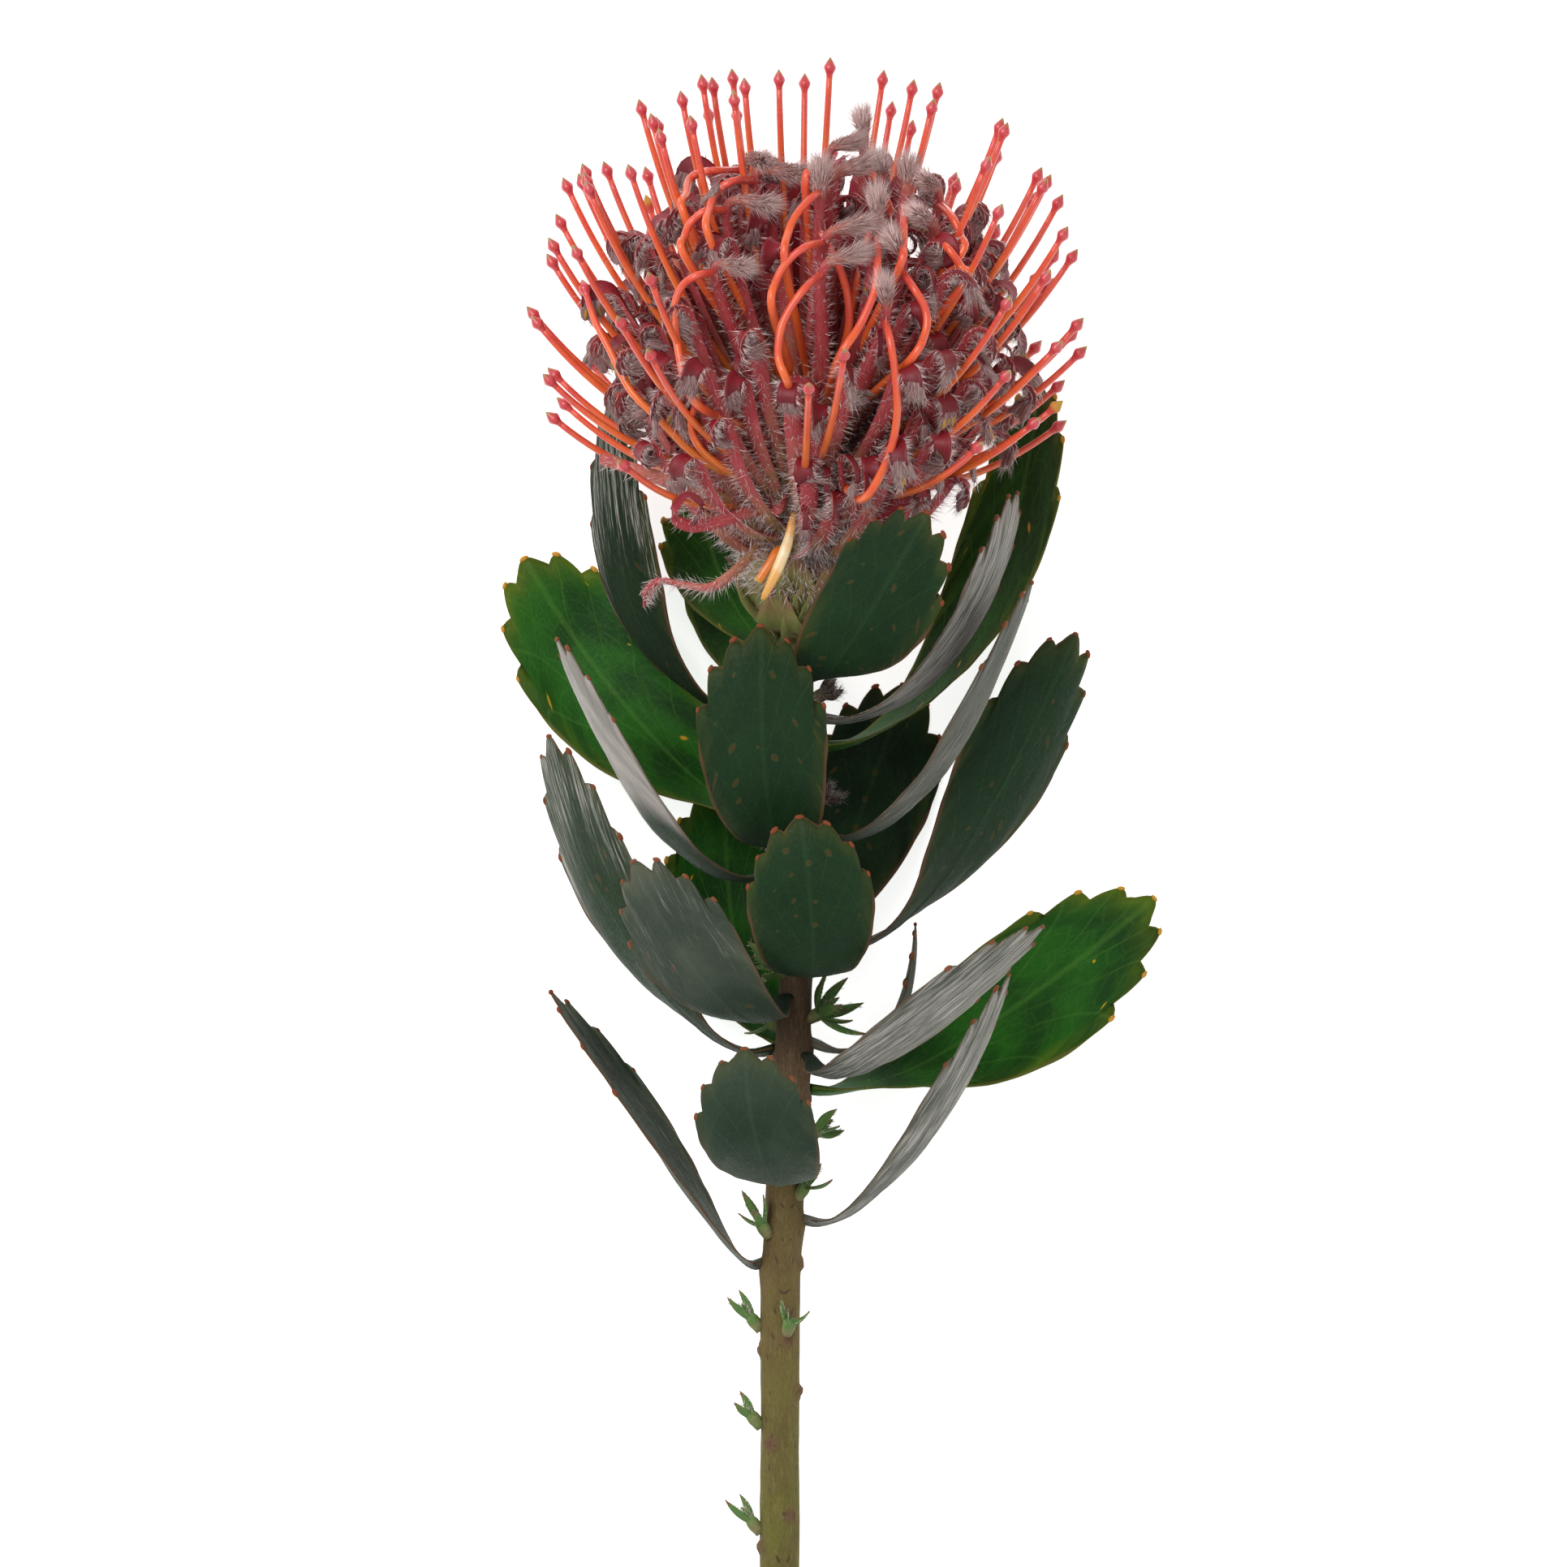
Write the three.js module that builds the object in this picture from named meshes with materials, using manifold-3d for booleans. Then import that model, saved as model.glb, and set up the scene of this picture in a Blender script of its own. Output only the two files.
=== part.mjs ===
// A pincushion protea, cut with its leafy stem and lying on its side, in millimetres.
// +Y runs up the stem to the flower head and +Z is up from the surface.
// The origin is the middle of the footprint. The stem climbs from its cut end to the head,
// and the rear leaves lie on the surface.
import * as THREE from "three";
import Module from "manifold-3d";

const wasm = await Module();
wasm.setup();

// Stem
const stemRadius = 3.3;
const upperStemRadius = 2.5;
const stemSides = 10;
const stemRings = 13;
const cutEndX = -8;
const cutEndY = -146;
const stemSlope = 0.135; // rise towards the head for each millimetre along Y

// Leaves
const bladeThickness = 0.8;
const bladeRows = 5;
const bladeCup = 0.22; // how far the margins stand up, as a share of half the width
const petioleShare = 0.2; // width at the root, as a share of the widest
const apexShare = 0.3; // share of a leaf's length that its toothed apex takes up
const innerShare = 0.9; // of the length, to the row behind the notches
const notchInset = 0.8; // how far across the points of that row lie, as a share of the notches' places
const toothHeight = 1.1;

// Flower head: the style tips lie on a ball, and the bends of the perianths on a smaller one
const headBase = new THREE.Vector3(-4.6, 57, 32.6);
const headAxis = new THREE.Vector3(0.035, 0.95, 0.31).normalize();
const neckDrop = 7; // the stem ends this far below the head's base
const ballHeight = 43.9; // of the balls' centre above the head's base
const floretCount = 60;
const goldenAngle = 137.508;
const lowestAngle = 116; // of the lowest florets round the balls' centre, from the head's axis
const firstRootHeight = 4;
const lastRootHeight = 31;

// Styles
const styleReach = 49.8;
const styleBow = 13;
const styleRadius = 0.62;
const styleCoreProfile = [[2.6, 2.6], [3, 6], [1.6, 32.5]]; // radius and height
const styleRootRadius = 1; // roots start inside that core
const styleSteps = 4;
const presenterLength = 3.2; // the pollen presenter is the spindle at a style's tip
const presenterRadius = 1;
const youngLoop = 9; // how far the style of a closed floret loops out

// Perianths and the receptacle they grow from
const perianthReach = 33.5;
const youngReach = 29;
const perianthBow = 6;
const lowFloretBow = 5; // more for the lowest florets
const perianthRootDepth = 2;
const curlLength = 12;
const receptacleLength = 37;
const receptacleRadius = 6.3;

const clearance = 0.32; // between one node and the next

const colours = {
  stem: 0x7d7048,
  leafGreen: 0x24401f,
  leafBright: 0x2f6a1c,
  leafSilver: 0x5d6a5c,
  shoot: 0x3f6a2a,
  woollyBud: 0x8a7466,
  bract: 0x6f7a4a,
  perianth: 0x7c2430,
  style: 0xe2491c,
};

const radians = THREE.MathUtils.degToRad;
const lerp = THREE.MathUtils.lerp;
const vector = (x, y, z) => new THREE.Vector3(x, y, z);
const smooth = (low, high, x) => THREE.MathUtils.smoothstep(x, low, high);

// A repeatable number from 0 to 1 for each floret and purpose
function chance(index, purpose) {
  const wave = Math.sin(index * 12.9898 + purpose * 78.233) * 43758.5453;
  return wave - Math.floor(wave);
}

// Geometry with its triangles turned to face out
function facingOut(positions, index) {
  const corner = (i) => vector(...positions.slice(3 * i, 3 * i + 3));
  let volume = 0;
  for (let i = 0; i < index.length; i += 3)
    volume += corner(index[i]).dot(corner(index[i + 1]).cross(corner(index[i + 2])));
  if (volume < 0)
    for (let i = 0; i < index.length; i += 3) [index[i], index[i + 1]] = [index[i + 1], index[i]];
  const geometry = new THREE.BufferGeometry();
  geometry.setAttribute("position", new THREE.Float32BufferAttribute(positions, 3));
  return geometry.setIndex(index);
}

// A closed skin over rings of points, with flat ends
function skin(rings) {
  const count = rings[0].length;
  const positions = rings.flat().flatMap((p) => [p.x, p.y, p.z]);
  const index = [];
  for (let r = 0; r < rings.length - 1; r++)
    for (let k = 0; k < count; k++) {
      const a = r * count + k;
      const b = r * count + ((k + 1) % count);
      index.push(a, b, a + count, b, b + count, a + count);
    }
  const last = (rings.length - 1) * count;
  for (let k = 1; k < count - 1; k++) {
    index.push(0, k + 1, k);
    index.push(last, last + k, last + k + 1);
  }
  return facingOut(positions, index);
}

// A three-sided bar along points; halves(i) gives half its width and half its depth
function bar(points, across, halves) {
  const section = [[0, 1], [-0.87, -0.5], [0.87, -0.5]];
  const rings = points.map((point, i) => {
    const before = points[Math.max(0, i - 1)];
    const after = points[Math.min(points.length - 1, i + 1)];
    const along = after.clone().sub(before).normalize();
    const side = across.clone().addScaledVector(along, -across.dot(along)).normalize();
    const deep = along.clone().cross(side);
    const [width, depth] = halves(i);
    return section.map(([w, d]) => {
      const corner = point.clone().addScaledVector(side, w * width);
      return corner.addScaledVector(deep, d * depth);
    });
  });
  return skin(rings);
}

// Booleans
function solidOf(geometry) {
  return new wasm.Manifold(
    new wasm.Mesh({
      numProp: 3,
      vertProperties: new Float32Array(geometry.attributes.position.array),
      triVerts: new Uint32Array(geometry.index.array),
    }),
  );
}

function geometryOf(solid) {
  const mesh = solid.getMesh();
  const geometry = new THREE.BufferGeometry();
  geometry.setAttribute("position", new THREE.BufferAttribute(mesh.vertProperties, 3));
  return geometry.setIndex(new THREE.BufferAttribute(mesh.triVerts, 1));
}

const joined = (geometries) => wasm.Manifold.union(geometries.map(solidOf));

// The biggest of a solid's separate bodies; what a cut leaves loose is dropped
function biggest(solid) {
  const bodies = solid.decompose();
  return bodies.reduce((best, body) => (body.volume() > best.volume() ? body : best));
}

// The head's own directions: to its right, to its front, and round its axis
const headRight = vector(1, 0, 0).addScaledVector(headAxis, -headAxis.x).normalize();
const headFront = headRight.clone().cross(headAxis);
const fromAxis = (turn) =>
  headRight.clone().multiplyScalar(Math.cos(turn)).addScaledVector(headFront, Math.sin(turn));
const heading = (angle, turn) =>
  headAxis.clone().multiplyScalar(Math.cos(angle)).addScaledVector(fromAxis(turn), Math.sin(angle));
const onAxis = (height) => headBase.clone().addScaledVector(headAxis, height);

// A solid turned round the head's axis, from pairs of radius and height
function turned(profile, sides) {
  const turns = Array.from({ length: sides }, (_, k) => (k / sides) * 2 * Math.PI);
  const rings = profile.map(([radius, height]) =>
    turns.map((turn) => onAxis(height).addScaledVector(fromAxis(turn), radius)),
  );
  return skin(rings);
}

// Stem
const neck = onAxis(-neckDrop);
const neckLift = neck.z - stemRadius - stemSlope * (neck.y - cutEndY);

function stemPoint(y) {
  const x = lerp(cutEndX, neck.x, smooth(-70, 10, y));
  return vector(x, y, stemRadius + stemSlope * (y - cutEndY) + neckLift * smooth(0, neck.y, y));
}

const radiusAt = (y) => lerp(stemRadius, upperStemRadius, smooth(-40, 10, y));

// The direction from the stem at an azimuth: 0 is right, 90 up, 180 left, 270 down to the surface
const outward = (azimuth) => vector(Math.cos(radians(azimuth)), 0, Math.sin(radians(azimuth)));

function stemGeometry() {
  const rings = [];
  for (let r = 0; r < stemRings; r++) {
    const share = r / (stemRings - 1);
    const y = lerp(cutEndY, neck.y, share);
    const square = smooth(0.8, 1, share); // the top ring is square to the head's axis
    const right = vector(1, 0, 0).lerp(headRight, square);
    const front = vector(0, 0, 1).lerp(headFront, square);
    const ring = [];
    for (let k = 0; k < stemSides; k++) {
      const turn = (k / stemSides - 0.25) * 2 * Math.PI;
      const offset = right.clone().multiplyScalar(Math.cos(turn)).addScaledVector(front, Math.sin(turn));
      ring.push(stemPoint(y).addScaledVector(offset, radiusAt(y)));
    }
    rings.push(ring);
  }
  return skin(rings);
}

// Leaves, from the lowest: the root's place along the stem and its azimuth, the width,
// the midrib's two handles and tip, and the way the upper face looks at the tip
const leaves = [
  {
    root: -55.6, azimuth: 187, width: 17, colour: "leafGreen",
    handles: [[-15, -59, 17], [-25.7, -39, 20]],
    tip: [-45.5, -11.3, 22],
    face: [0.85, 0.45, 0.25],
  },
  {
    root: -48.2, azimuth: -5, width: 14, colour: "leafSilver",
    handles: [[3.5, -52, 18], [18.9, -37.7, 22]],
    tip: [29.7, -8.6, 24],
    face: [-0.85, 0.4, -0.3],
  },
  {
    root: -39, azimuth: 95, width: 19.5, colour: "leafSilver",
    handles: [[-6.8, -46, 37], [-12.8, -40, 52]],
    tip: [-13.8, -19.8, 49],
    face: [0.1, 0, -1],
  },
  {
    root: -26.2, azimuth: -35, width: 22.5, colour: "leafBright",
    handles: [[9.5, -29.5, 11], [29.7, -16.1, 0]],
    tip: [54.3, 4.5, -2.5],
    face: [0, 0.05, 1],
  },
  {
    root: -20.6, azimuth: 35, width: 16, colour: "leafSilver",
    handles: [[-0.2, -30, 35], [12.2, -18.8, 44]],
    tip: [34.7, 0.1, 40],
    face: [-0.62, 0.68, -0.4],
  },
  {
    root: -19.4, azimuth: 195, width: 18.5, colour: "leafGreen",
    handles: [[-18.9, -24.5, 19], [-39.2, -2.6, 18]],
    tip: [-46.4, 31.5, 19],
    face: [0.75, 0.3, -0.55],
  },
  {
    root: -18.8, azimuth: 255, width: 20, colour: "leafBright",
    handles: [[-13.5, -16.1, 9], [-18.2, 0.1, 0]],
    tip: [-17.1, 24.4, -2.5],
    face: [0, 0, 1],
  },
  {
    root: -18.3, azimuth: 0, width: 9, colour: "leafSilver",
    handles: [[5, -22.8, 21], [14.9, -18.8, 22]],
    tip: [14.9, 0.1, 22],
    face: [-0.95, 0.3, 0],
  },
  {
    root: -10.9, azimuth: 130, width: 18.5, colour: "leafSilver",
    handles: [[-11.5, -21.5, 42], [-23, -7.6, 50]],
    tip: [-31.7, 10.9, 47],
    face: [0.5, 0.25, -0.8],
  },
  {
    root: -5.9, azimuth: 285, width: 21, colour: "leafGreen",
    handles: [[-1.4, 2, 11], [5.4, 18, 0]],
    tip: [12.8, 40.6, -2.5],
    face: [0, 0, 1],
  },
  {
    root: -3.9, azimuth: 80, width: 20.5, colour: "leafGreen",
    handles: [[-2, -13, 44], [-1.4, -1.2, 59]],
    tip: [-4.7, 18.8, 57],
    face: [0, 0, -1],
  },
  {
    root: -2.8, azimuth: -12, width: 19.5, colour: "leafGreen",
    handles: [[16.2, -5.6, 21], [29.7, 23.1, 16]],
    tip: [41.2, 49, 17],
    face: [-0.45, 0.35, -0.8],
  },
  {
    root: 10.9, azimuth: 170, width: 17.5, colour: "leafSilver",
    handles: [[-21.6, 3.2, 35], [-33.8, 20.4, 33]],
    tip: [-44.8, 47.8, 31],
    face: [0.93, 0.3, -0.2],
  },
  {
    root: 16.3, azimuth: 15, width: 16.5, colour: "leafSilver",
    handles: [[12.2, 12.6, 35], [24.3, 29.8, 36]],
    tip: [33.5, 57.1, 34],
    face: [-0.93, 0.3, -0.15],
  },
  {
    root: 17, azimuth: 102, width: 20.5, colour: "leafGreen",
    handles: [[-8.8, 7, 46], [-11.6, 25.8, 56]],
    tip: [-11.2, 49.7, 54],
    face: [0, 0.05, -1],
  },
  {
    root: 19, azimuth: 215, width: 23.5, colour: "leafBright",
    handles: [[-17.5, 16.5, 15], [-36.5, 37.9, 0]],
    tip: [-50.9, 62.2, -2.5],
    face: [0, 0, 1],
  },
  {
    root: 31.5, azimuth: -20, width: 17, colour: "leafGreen",
    handles: [[14.9, 29.5, 25], [33.5, 57, 15]],
    tip: [35.5, 92, 11],
    face: [-0.55, 0.15, 0.8],
  },
  {
    root: 36.5, azimuth: 25, width: 14, colour: "leafSilver",
    handles: [[12.2, 31.5, 41], [28, 50.1, 34]],
    tip: [31.5, 72.5, 25],
    face: [-0.85, 0.3, -0.4],
  },
  {
    root: 36.6, azimuth: 185, width: 15.5, colour: "leafGreen",
    handles: [[-24.3, 32.5, 29], [-39.5, 55.5, 22]],
    tip: [-36.5, 88, 14],
    face: [0.8, 0.1, -0.6],
  },
  {
    root: 38, azimuth: 258, width: 19, colour: "leafBright",
    handles: [[-10.5, 39, 13], [-14.5, 52.5, 0]],
    tip: [-15.8, 68, -2.5],
    face: [0, 0, 1],
  },
  {
    root: 43.8, azimuth: 65, width: 18.5, colour: "leafGreen",
    handles: [[-1.6, 38.5, 46], [6, 51, 62]],
    tip: [15.5, 68.3, 67],
    face: [0.1, -0.1, -1],
  },
  {
    root: 47, azimuth: 230, width: 16.5, colour: "leafBright",
    handles: [[-13.5, 46.5, 21], [-18.9, 60, 11]],
    tip: [-22.3, 73.7, 7],
    face: [0.15, 0.1, 1],
  },
];

// Places across a blade from one margin to the other: in a plain row, at the notches of the apex,
// and along the apex with its teeth
const rowPlaces = [-1, -0.5, 0, 0.5, 1];
const notchPlaces = [-1, -0.88, -0.64, -0.28, 0.28, 0.64, 0.88, 1];
const apexPlaces = [-1, -0.97, -0.88, -0.78, -0.64, -0.5, -0.28, 0, 0.28, 0.5, 0.64, 0.78, 0.88, 0.97, 1];
const apexTeeth = [0.6, 0.7, -0.4, 1, -0.4, 1, -0.4, 1.3, -0.4, 1, -0.4, 1, -0.4, 0.7, 0.6];

const roundness = (v) => Math.sqrt(Math.max(0, 1 - v * v));

function leafGeometry(leaf) {
  const out = outward(leaf.azimuth);
  const toRoot = radiusAt(leaf.root) + clearance + bladeThickness / 4;
  const root = stemPoint(leaf.root).addScaledVector(out, toRoot);
  const [first, second] = leaf.handles.map((handle) => vector(...handle));
  const midrib = new THREE.CubicBezierCurve3(root, first, second, vector(...leaf.tip));

  // The upper face looks up the stem at the root, and is carried round with the midrib
  const carried = (along) =>
    vector(0, 1, 0).applyQuaternion(new THREE.Quaternion().setFromUnitVectors(out, along));
  const tipWay = midrib.getTangent(1);
  const tipSide = carried(tipWay).cross(tipWay).negate();
  const tipFace = vector(...leaf.face);
  const twist = Math.atan2(tipFace.dot(tipSide), tipFace.dot(carried(tipWay)));

  // The point of the blade at a share of its length and a place across it
  function place(share, v, tooth) {
    const t = Math.min(1, share * (1 - apexShare * (1 - roundness(v))));
    const along = out.clone().lerp(midrib.getTangent(t), smooth(0, 0.2, t)).normalize();
    const up = carried(along).applyAxisAngle(along, twist * smooth(0.1, 0.75, t));
    const side = along.clone().cross(up);
    const widening = Math.pow(Math.sin((Math.PI / 2) * share), 1.25);
    const x = (v * leaf.width * lerp(petioleShare, 1, widening)) / 2;
    const point = midrib.getPoint(t).addScaledVector(side, x);
    point.addScaledVector(up, (bladeCup * x * x) / (leaf.width / 2));
    const edgeWay = side.multiplyScalar(v).addScaledVector(along, roundness(v) + 0.3).normalize();
    point.addScaledVector(edgeWay, tooth * toothHeight);
    point.z = Math.max(point.z, bladeThickness / 2); // on the surface
    return point;
  }

  // The way the upper face looks at that point
  function upAt(share, v) {
    const step = 0.04;
    const inset = 0.98 * v;
    const ahead = place(Math.min(1, share + step), inset, 0);
    const behind = place(Math.max(0, share - step), inset, 0);
    const right = place(share, Math.min(1, v + step), 0);
    const left = place(share, Math.max(-1, v - step), 0);
    return right.sub(left).cross(ahead.sub(behind)).normalize();
  }

  const row = (share, places, teeth = [], inset = 1) =>
    places.map((v, i) => {
      const across = Math.abs(v) < 1 ? inset * v : v;
      return { v, point: place(share, across, teeth[i] ?? 0), up: upAt(share, across) };
    });
  const rows = Array.from({ length: bladeRows }, (_, r) => row(r / bladeRows, rowPlaces));
  rows.push(row(innerShare, notchPlaces, [], notchInset), row(1, apexPlaces, apexTeeth));
  return blade(rows);
}

// A thin closed solid on both sides of a sheet of rows, with its two faces split alike
function blade(rows) {
  const positions = [];
  const starts = [];
  for (const face of [1, -1])
    for (const row of rows) {
      starts.push(positions.length / 3);
      for (const { point, up } of row) {
        const p = point.clone().addScaledVector(up, (face * bladeThickness) / 2);
        positions.push(p.x, p.y, Math.max(0, p.z));
      }
    }
  const index = [];
  const under = starts[rows.length];
  for (let r = 0; r < rows.length - 1; r++) {
    const [low, high] = [rows[r], rows[r + 1]];
    let a = 0;
    let b = 0;
    while (a < low.length - 1 || b < high.length - 1) {
      const nextLow = a < low.length - 1 ? low[a + 1].v : Infinity;
      const nextHigh = b < high.length - 1 ? high[b + 1].v : Infinity;
      const first = starts[r] + a;
      const second = starts[r + 1] + b;
      const third = nextLow <= nextHigh ? starts[r] + ++a : starts[r + 1] + ++b;
      index.push(first, third, second);
      index.push(first + under, second + under, third + under);
    }
  }
  const top = rows.length - 1;
  const rim = rows[0].map((_, k) => k);
  for (let r = 1; r <= top; r++) rim.push(starts[r] + rows[r].length - 1);
  for (let k = rows[top].length - 2; k >= 0; k--) rim.push(starts[top] + k);
  for (let r = top - 1; r > 0; r--) rim.push(starts[r]);
  rim.forEach((a, k) => {
    const b = rim[(k + 1) % rim.length];
    index.push(a, a + under, b, b, a + under, b + under);
  });
  return facingOut(positions, index);
}

// The head opens from the outside inwards: in front and near the top, florets are still closed
const youngWay = vector(0.24, 0.5, 0.82).normalize();
const youngSpread = Math.cos(radians(32));
// Some florets low in front have fallen
const bareWay = vector(0.02, -0.62, 0.78).normalize();
const bareSpread = Math.cos(radians(27));

function placedFlorets() {
  const found = [];
  const lowest = Math.cos(radians(lowestAngle));
  for (let i = 0; i < floretCount; i++) {
    const share = (i + 0.5) / floretCount;
    const angle = Math.acos(lerp(lowest, 1, share));
    const turn = radians(i * goldenAngle + 10 * (chance(i, 1) - 0.5));
    const height = lerp(firstRootHeight, lastRootHeight, Math.pow(share, 0.85));
    const way = heading(angle, turn);
    const young = way.dot(youngWay) > youngSpread;
    if (way.dot(bareWay) < bareSpread) found.push({ i, angle, turn, height, young });
  }
  return found;
}

const onBall = (angle, turn, reach) => onAxis(ballHeight).addScaledVector(heading(angle, turn), reach);

// Bends what would go through the surface flat along it
function aboveSurface(point, least) {
  const soft = 4;
  if (point.z < least + soft) point.z = least + soft * Math.exp((point.z - least - soft) / soft);
  return point;
}

// Points along an arch that bows down and away from the head's axis
function arch(from, to, bow, steps) {
  const chord = to.clone().sub(from);
  const along = chord.clone().normalize();
  const away = headAxis.clone().negate().addScaledVector(along, along.dot(headAxis));
  const middle = from.clone().addScaledVector(chord, 0.5).addScaledVector(away, bow);
  return new THREE.QuadraticBezierCurve3(from, middle, to).getPoints(steps);
}

function stylePoints({ i, angle, turn, height, young }) {
  const from = onAxis(height).addScaledVector(fromAxis(turn), styleRootRadius);
  if (young) {
    const side = chance(i, 2) < 0.5 ? -1 : 1;
    const aside = fromAxis(turn + (side * Math.PI) / 3);
    const to = onBall(angle + radians(4), turn + side * radians(4), youngReach - 2);
    const loop = (k) => youngLoop * Math.sin((Math.PI * k) / styleSteps);
    return arch(from, to, 0, styleSteps).map((point, k) => point.addScaledVector(aside, loop(k)));
  }
  const reach = styleReach * (1 - 0.05 * chance(i, 3) - 0.04 * smooth(0.9, 1.8, angle));
  const tipAngle = 0.94 * angle + 0.1 * (chance(i, 6) - 0.5);
  const to = onBall(tipAngle, turn + 0.22 * (chance(i, 2) - 0.5), reach);
  return arch(from, to, styleBow, styleSteps).map((point) => aboveSurface(point, presenterRadius));
}

function styleGeometry(floret, extra) {
  const points = stylePoints(floret);
  const radii = points.map((_, k) => styleRadius * lerp(1, 0.8, k / styleSteps));
  if (!floret.young) {
    const end = points.pop();
    const way = end.clone().sub(points.at(-1)).normalize();
    for (const back of [presenterLength, 0.62 * presenterLength, 0])
      points.push(end.clone().addScaledVector(way, -back));
    radii.push(presenterRadius, 0.15);
  }
  const across = fromAxis(floret.turn + Math.PI / 2);
  return bar(points, across, (k) => [radii[k] + extra, radii[k] + extra]);
}

// Two broken styles hang from the bare front
const brokenStyles = [
  [[-4.2, 66.3, 36.7], [-5.3, 68.6, 45], [-7.5, 63, 49.5], [-10.8, 55.4, 51]],
  [[-5.4, 63.5, 36], [-7.6, 65.4, 43], [-9.6, 61.8, 46], [-12, 57.8, 47]],
];

const brokenStyle = (points, extra) =>
  bar(points.map((p) => vector(...p)), headRight, (k) => [0.75 + extra, 0.75 + extra]);

const allStyles = (extra) => [
  ...florets.map((floret) => styleGeometry(floret, extra)),
  ...brokenStyles.map((points) => brokenStyle(points, extra)),
];

// An open perianth runs out to its bend and curls back from there; a closed one ends in a club
function perianthGeometry({ i, angle: styleAngle, turn: styleTurn, height, young }) {
  const angle = styleAngle + radians(4);
  const turn = styleTurn + radians(9);
  const across = fromAxis(turn + Math.PI / 2);
  const from = onAxis(height - 2).addScaledVector(fromAxis(turn), receptacleAt(height) - perianthRootDepth);
  if (young) {
    const halves = [1.3, 0.9, 0.8, 1.6, 0.7];
    const points = arch(from, onBall(styleAngle, turn, youngReach), 2, halves.length - 1);
    return bar(points, across, (k) => [halves[k], halves[k]]);
  }
  const reach = perianthReach * (0.92 - 0.1 * chance(i, 7) + 0.08 * smooth(0.3, 1.1, angle));
  const bow = perianthBow + lowFloretBow * smooth(1.1, 1.9, angle);
  const points = arch(from, onBall(angle, turn, reach), bow, 3);
  const way = points.at(-1).clone().sub(points.at(-2)).normalize();
  const start = Math.acos(way.dot(headAxis));
  const curl = radians(lerp(150, 260, chance(i, 4)));
  const swing = radians(30) * (chance(i, 5) - 0.5);
  const bends = 4;
  for (let k = 1; k <= bends; k++) {
    const t = (k - 0.5) / bends;
    const step = heading(start + curl * t, turn + swing * t).multiplyScalar(curlLength / bends);
    points.push(points.at(-1).clone().add(step));
  }
  const widths = [1.5, 1.4, 1.5, 1.7, 1.7, 1.7, 1.7, 0.9];
  const depths = [1.3, 0.9, 0.7, 0.6, 0.55, 0.55, 0.55, 0.4];
  return bar(points.map((point) => aboveSurface(point, 1)), across, (k) => [widths[k], depths[k]]);
}

// One perianth has come loose and hangs to the left
function hangingPerianth() {
  const points = [
    [-5.6, 63.5, 38.5], [-10.4, 67.2, 46], [-14, 62.3, 49], [-18.2, 58.5, 49],
    [-25.2, 56.4, 47], [-29.7, 54.9, 46], [-30.6, 57, 47.5],
  ];
  return bar(points.map((p) => vector(...p)), headAxis, (k) => [1.2, 0.6]);
}

// The receptacle is a blunt cone
function receptacleAt(height) {
  const share = Math.max(0, height - 6) / (receptacleLength - 5);
  return receptacleRadius * Math.sqrt(1 - share * share);
}

const florets = placedFlorets();

function styleNode() {
  return turnedSolid(styleCoreProfile, 8).add(joined(allStyles(0)));
}

const turnedSolid = (profile, sides) => solidOf(turned(profile, sides));

function perianthNode() {
  const cone = [6, 12, 18, 24, 30, 36].map((height) => [receptacleAt(height), height]);
  const grown = turnedSolid([[5.2, 2.2], ...cone], 12);
  const perianths = joined([...florets.map(perianthGeometry), hangingPerianth()]);
  const wider = ([radius, height], k) => [radius + clearance, height + (k - 1) * 2 * clearance];
  const bore = turnedSolid(styleCoreProfile.map(wider), 8);
  const channels = joined(allStyles(clearance));
  return biggest(grown.add(perianths).subtract(bore).subtract(channels));
}

// Two rings of bracts on a short cup, round the base of the head
function involucreNode() {
  const pieces = [turned([[2.5, 0.5 - neckDrop], [4.4, -2.5], [5.6, 1.2]], 10)];
  const rings = [
    { count: 8, height: -4.5, radius: 2.2, length: 6 },
    { count: 9, height: -2.3, radius: 3.6, length: 5 },
  ];
  for (const { count, height, radius, length } of rings)
    for (let k = 0; k < count; k++) {
      const turn = (k / count) * 2 * Math.PI;
      const way = heading(radians(28), turn).multiplyScalar(length);
      const start = onAxis(height).addScaledVector(fromAxis(turn), radius);
      const points = [0, 0.5, 1].map((t) => start.clone().addScaledVector(way, t));
      const widths = [1.8, 1.7, 0.3];
      const depths = [0.9, 0.7, 0.3];
      pieces.push(bar(points, fromAxis(turn + Math.PI / 2), (j) => [widths[j], depths[j]]));
    }
  return joined(pieces);
}

// Side shoots in the axils, from the top: place along the stem, azimuth, leaflets, their length and spread
const sideShoots = [
  { at: -6.5, azimuth: 150, leaflets: 4, length: 8, spread: 62 },
  { at: -14, azimuth: 22, leaflets: 7, length: 8.5, spread: 58 },
  { at: -15.5, azimuth: 205, leaflets: 3, length: 6, spread: 50 },
  { at: -34, azimuth: 2, leaflets: 2, length: 6.5, spread: 40 },
  { at: -43.5, azimuth: 45, leaflets: 3, length: 6.5, spread: 48 },
  { at: -50, azimuth: 138, leaflets: 4, length: 6.5, spread: 50 },
  { at: -66, azimuth: 178, leaflets: 2, length: 5.5, spread: 45 },
  { at: -66.5, azimuth: 70, leaflets: 2, length: 6, spread: 60 },
  { at: -82.5, azimuth: 172, leaflets: 2, length: 4.5, spread: 42 },
  { at: -100.5, azimuth: 180, leaflets: 2, length: 6.5, spread: 30 },
];

const woollyBuds = [
  { at: 39.5, azimuth: 10, leaflets: 4, length: 4.2, spread: 36 },
  { at: 22, azimuth: 20, leaflets: 4, length: 4, spread: 36 },
  { at: 14.5, azimuth: 160, leaflets: 4, length: 3.6, spread: 36 },
];

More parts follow.
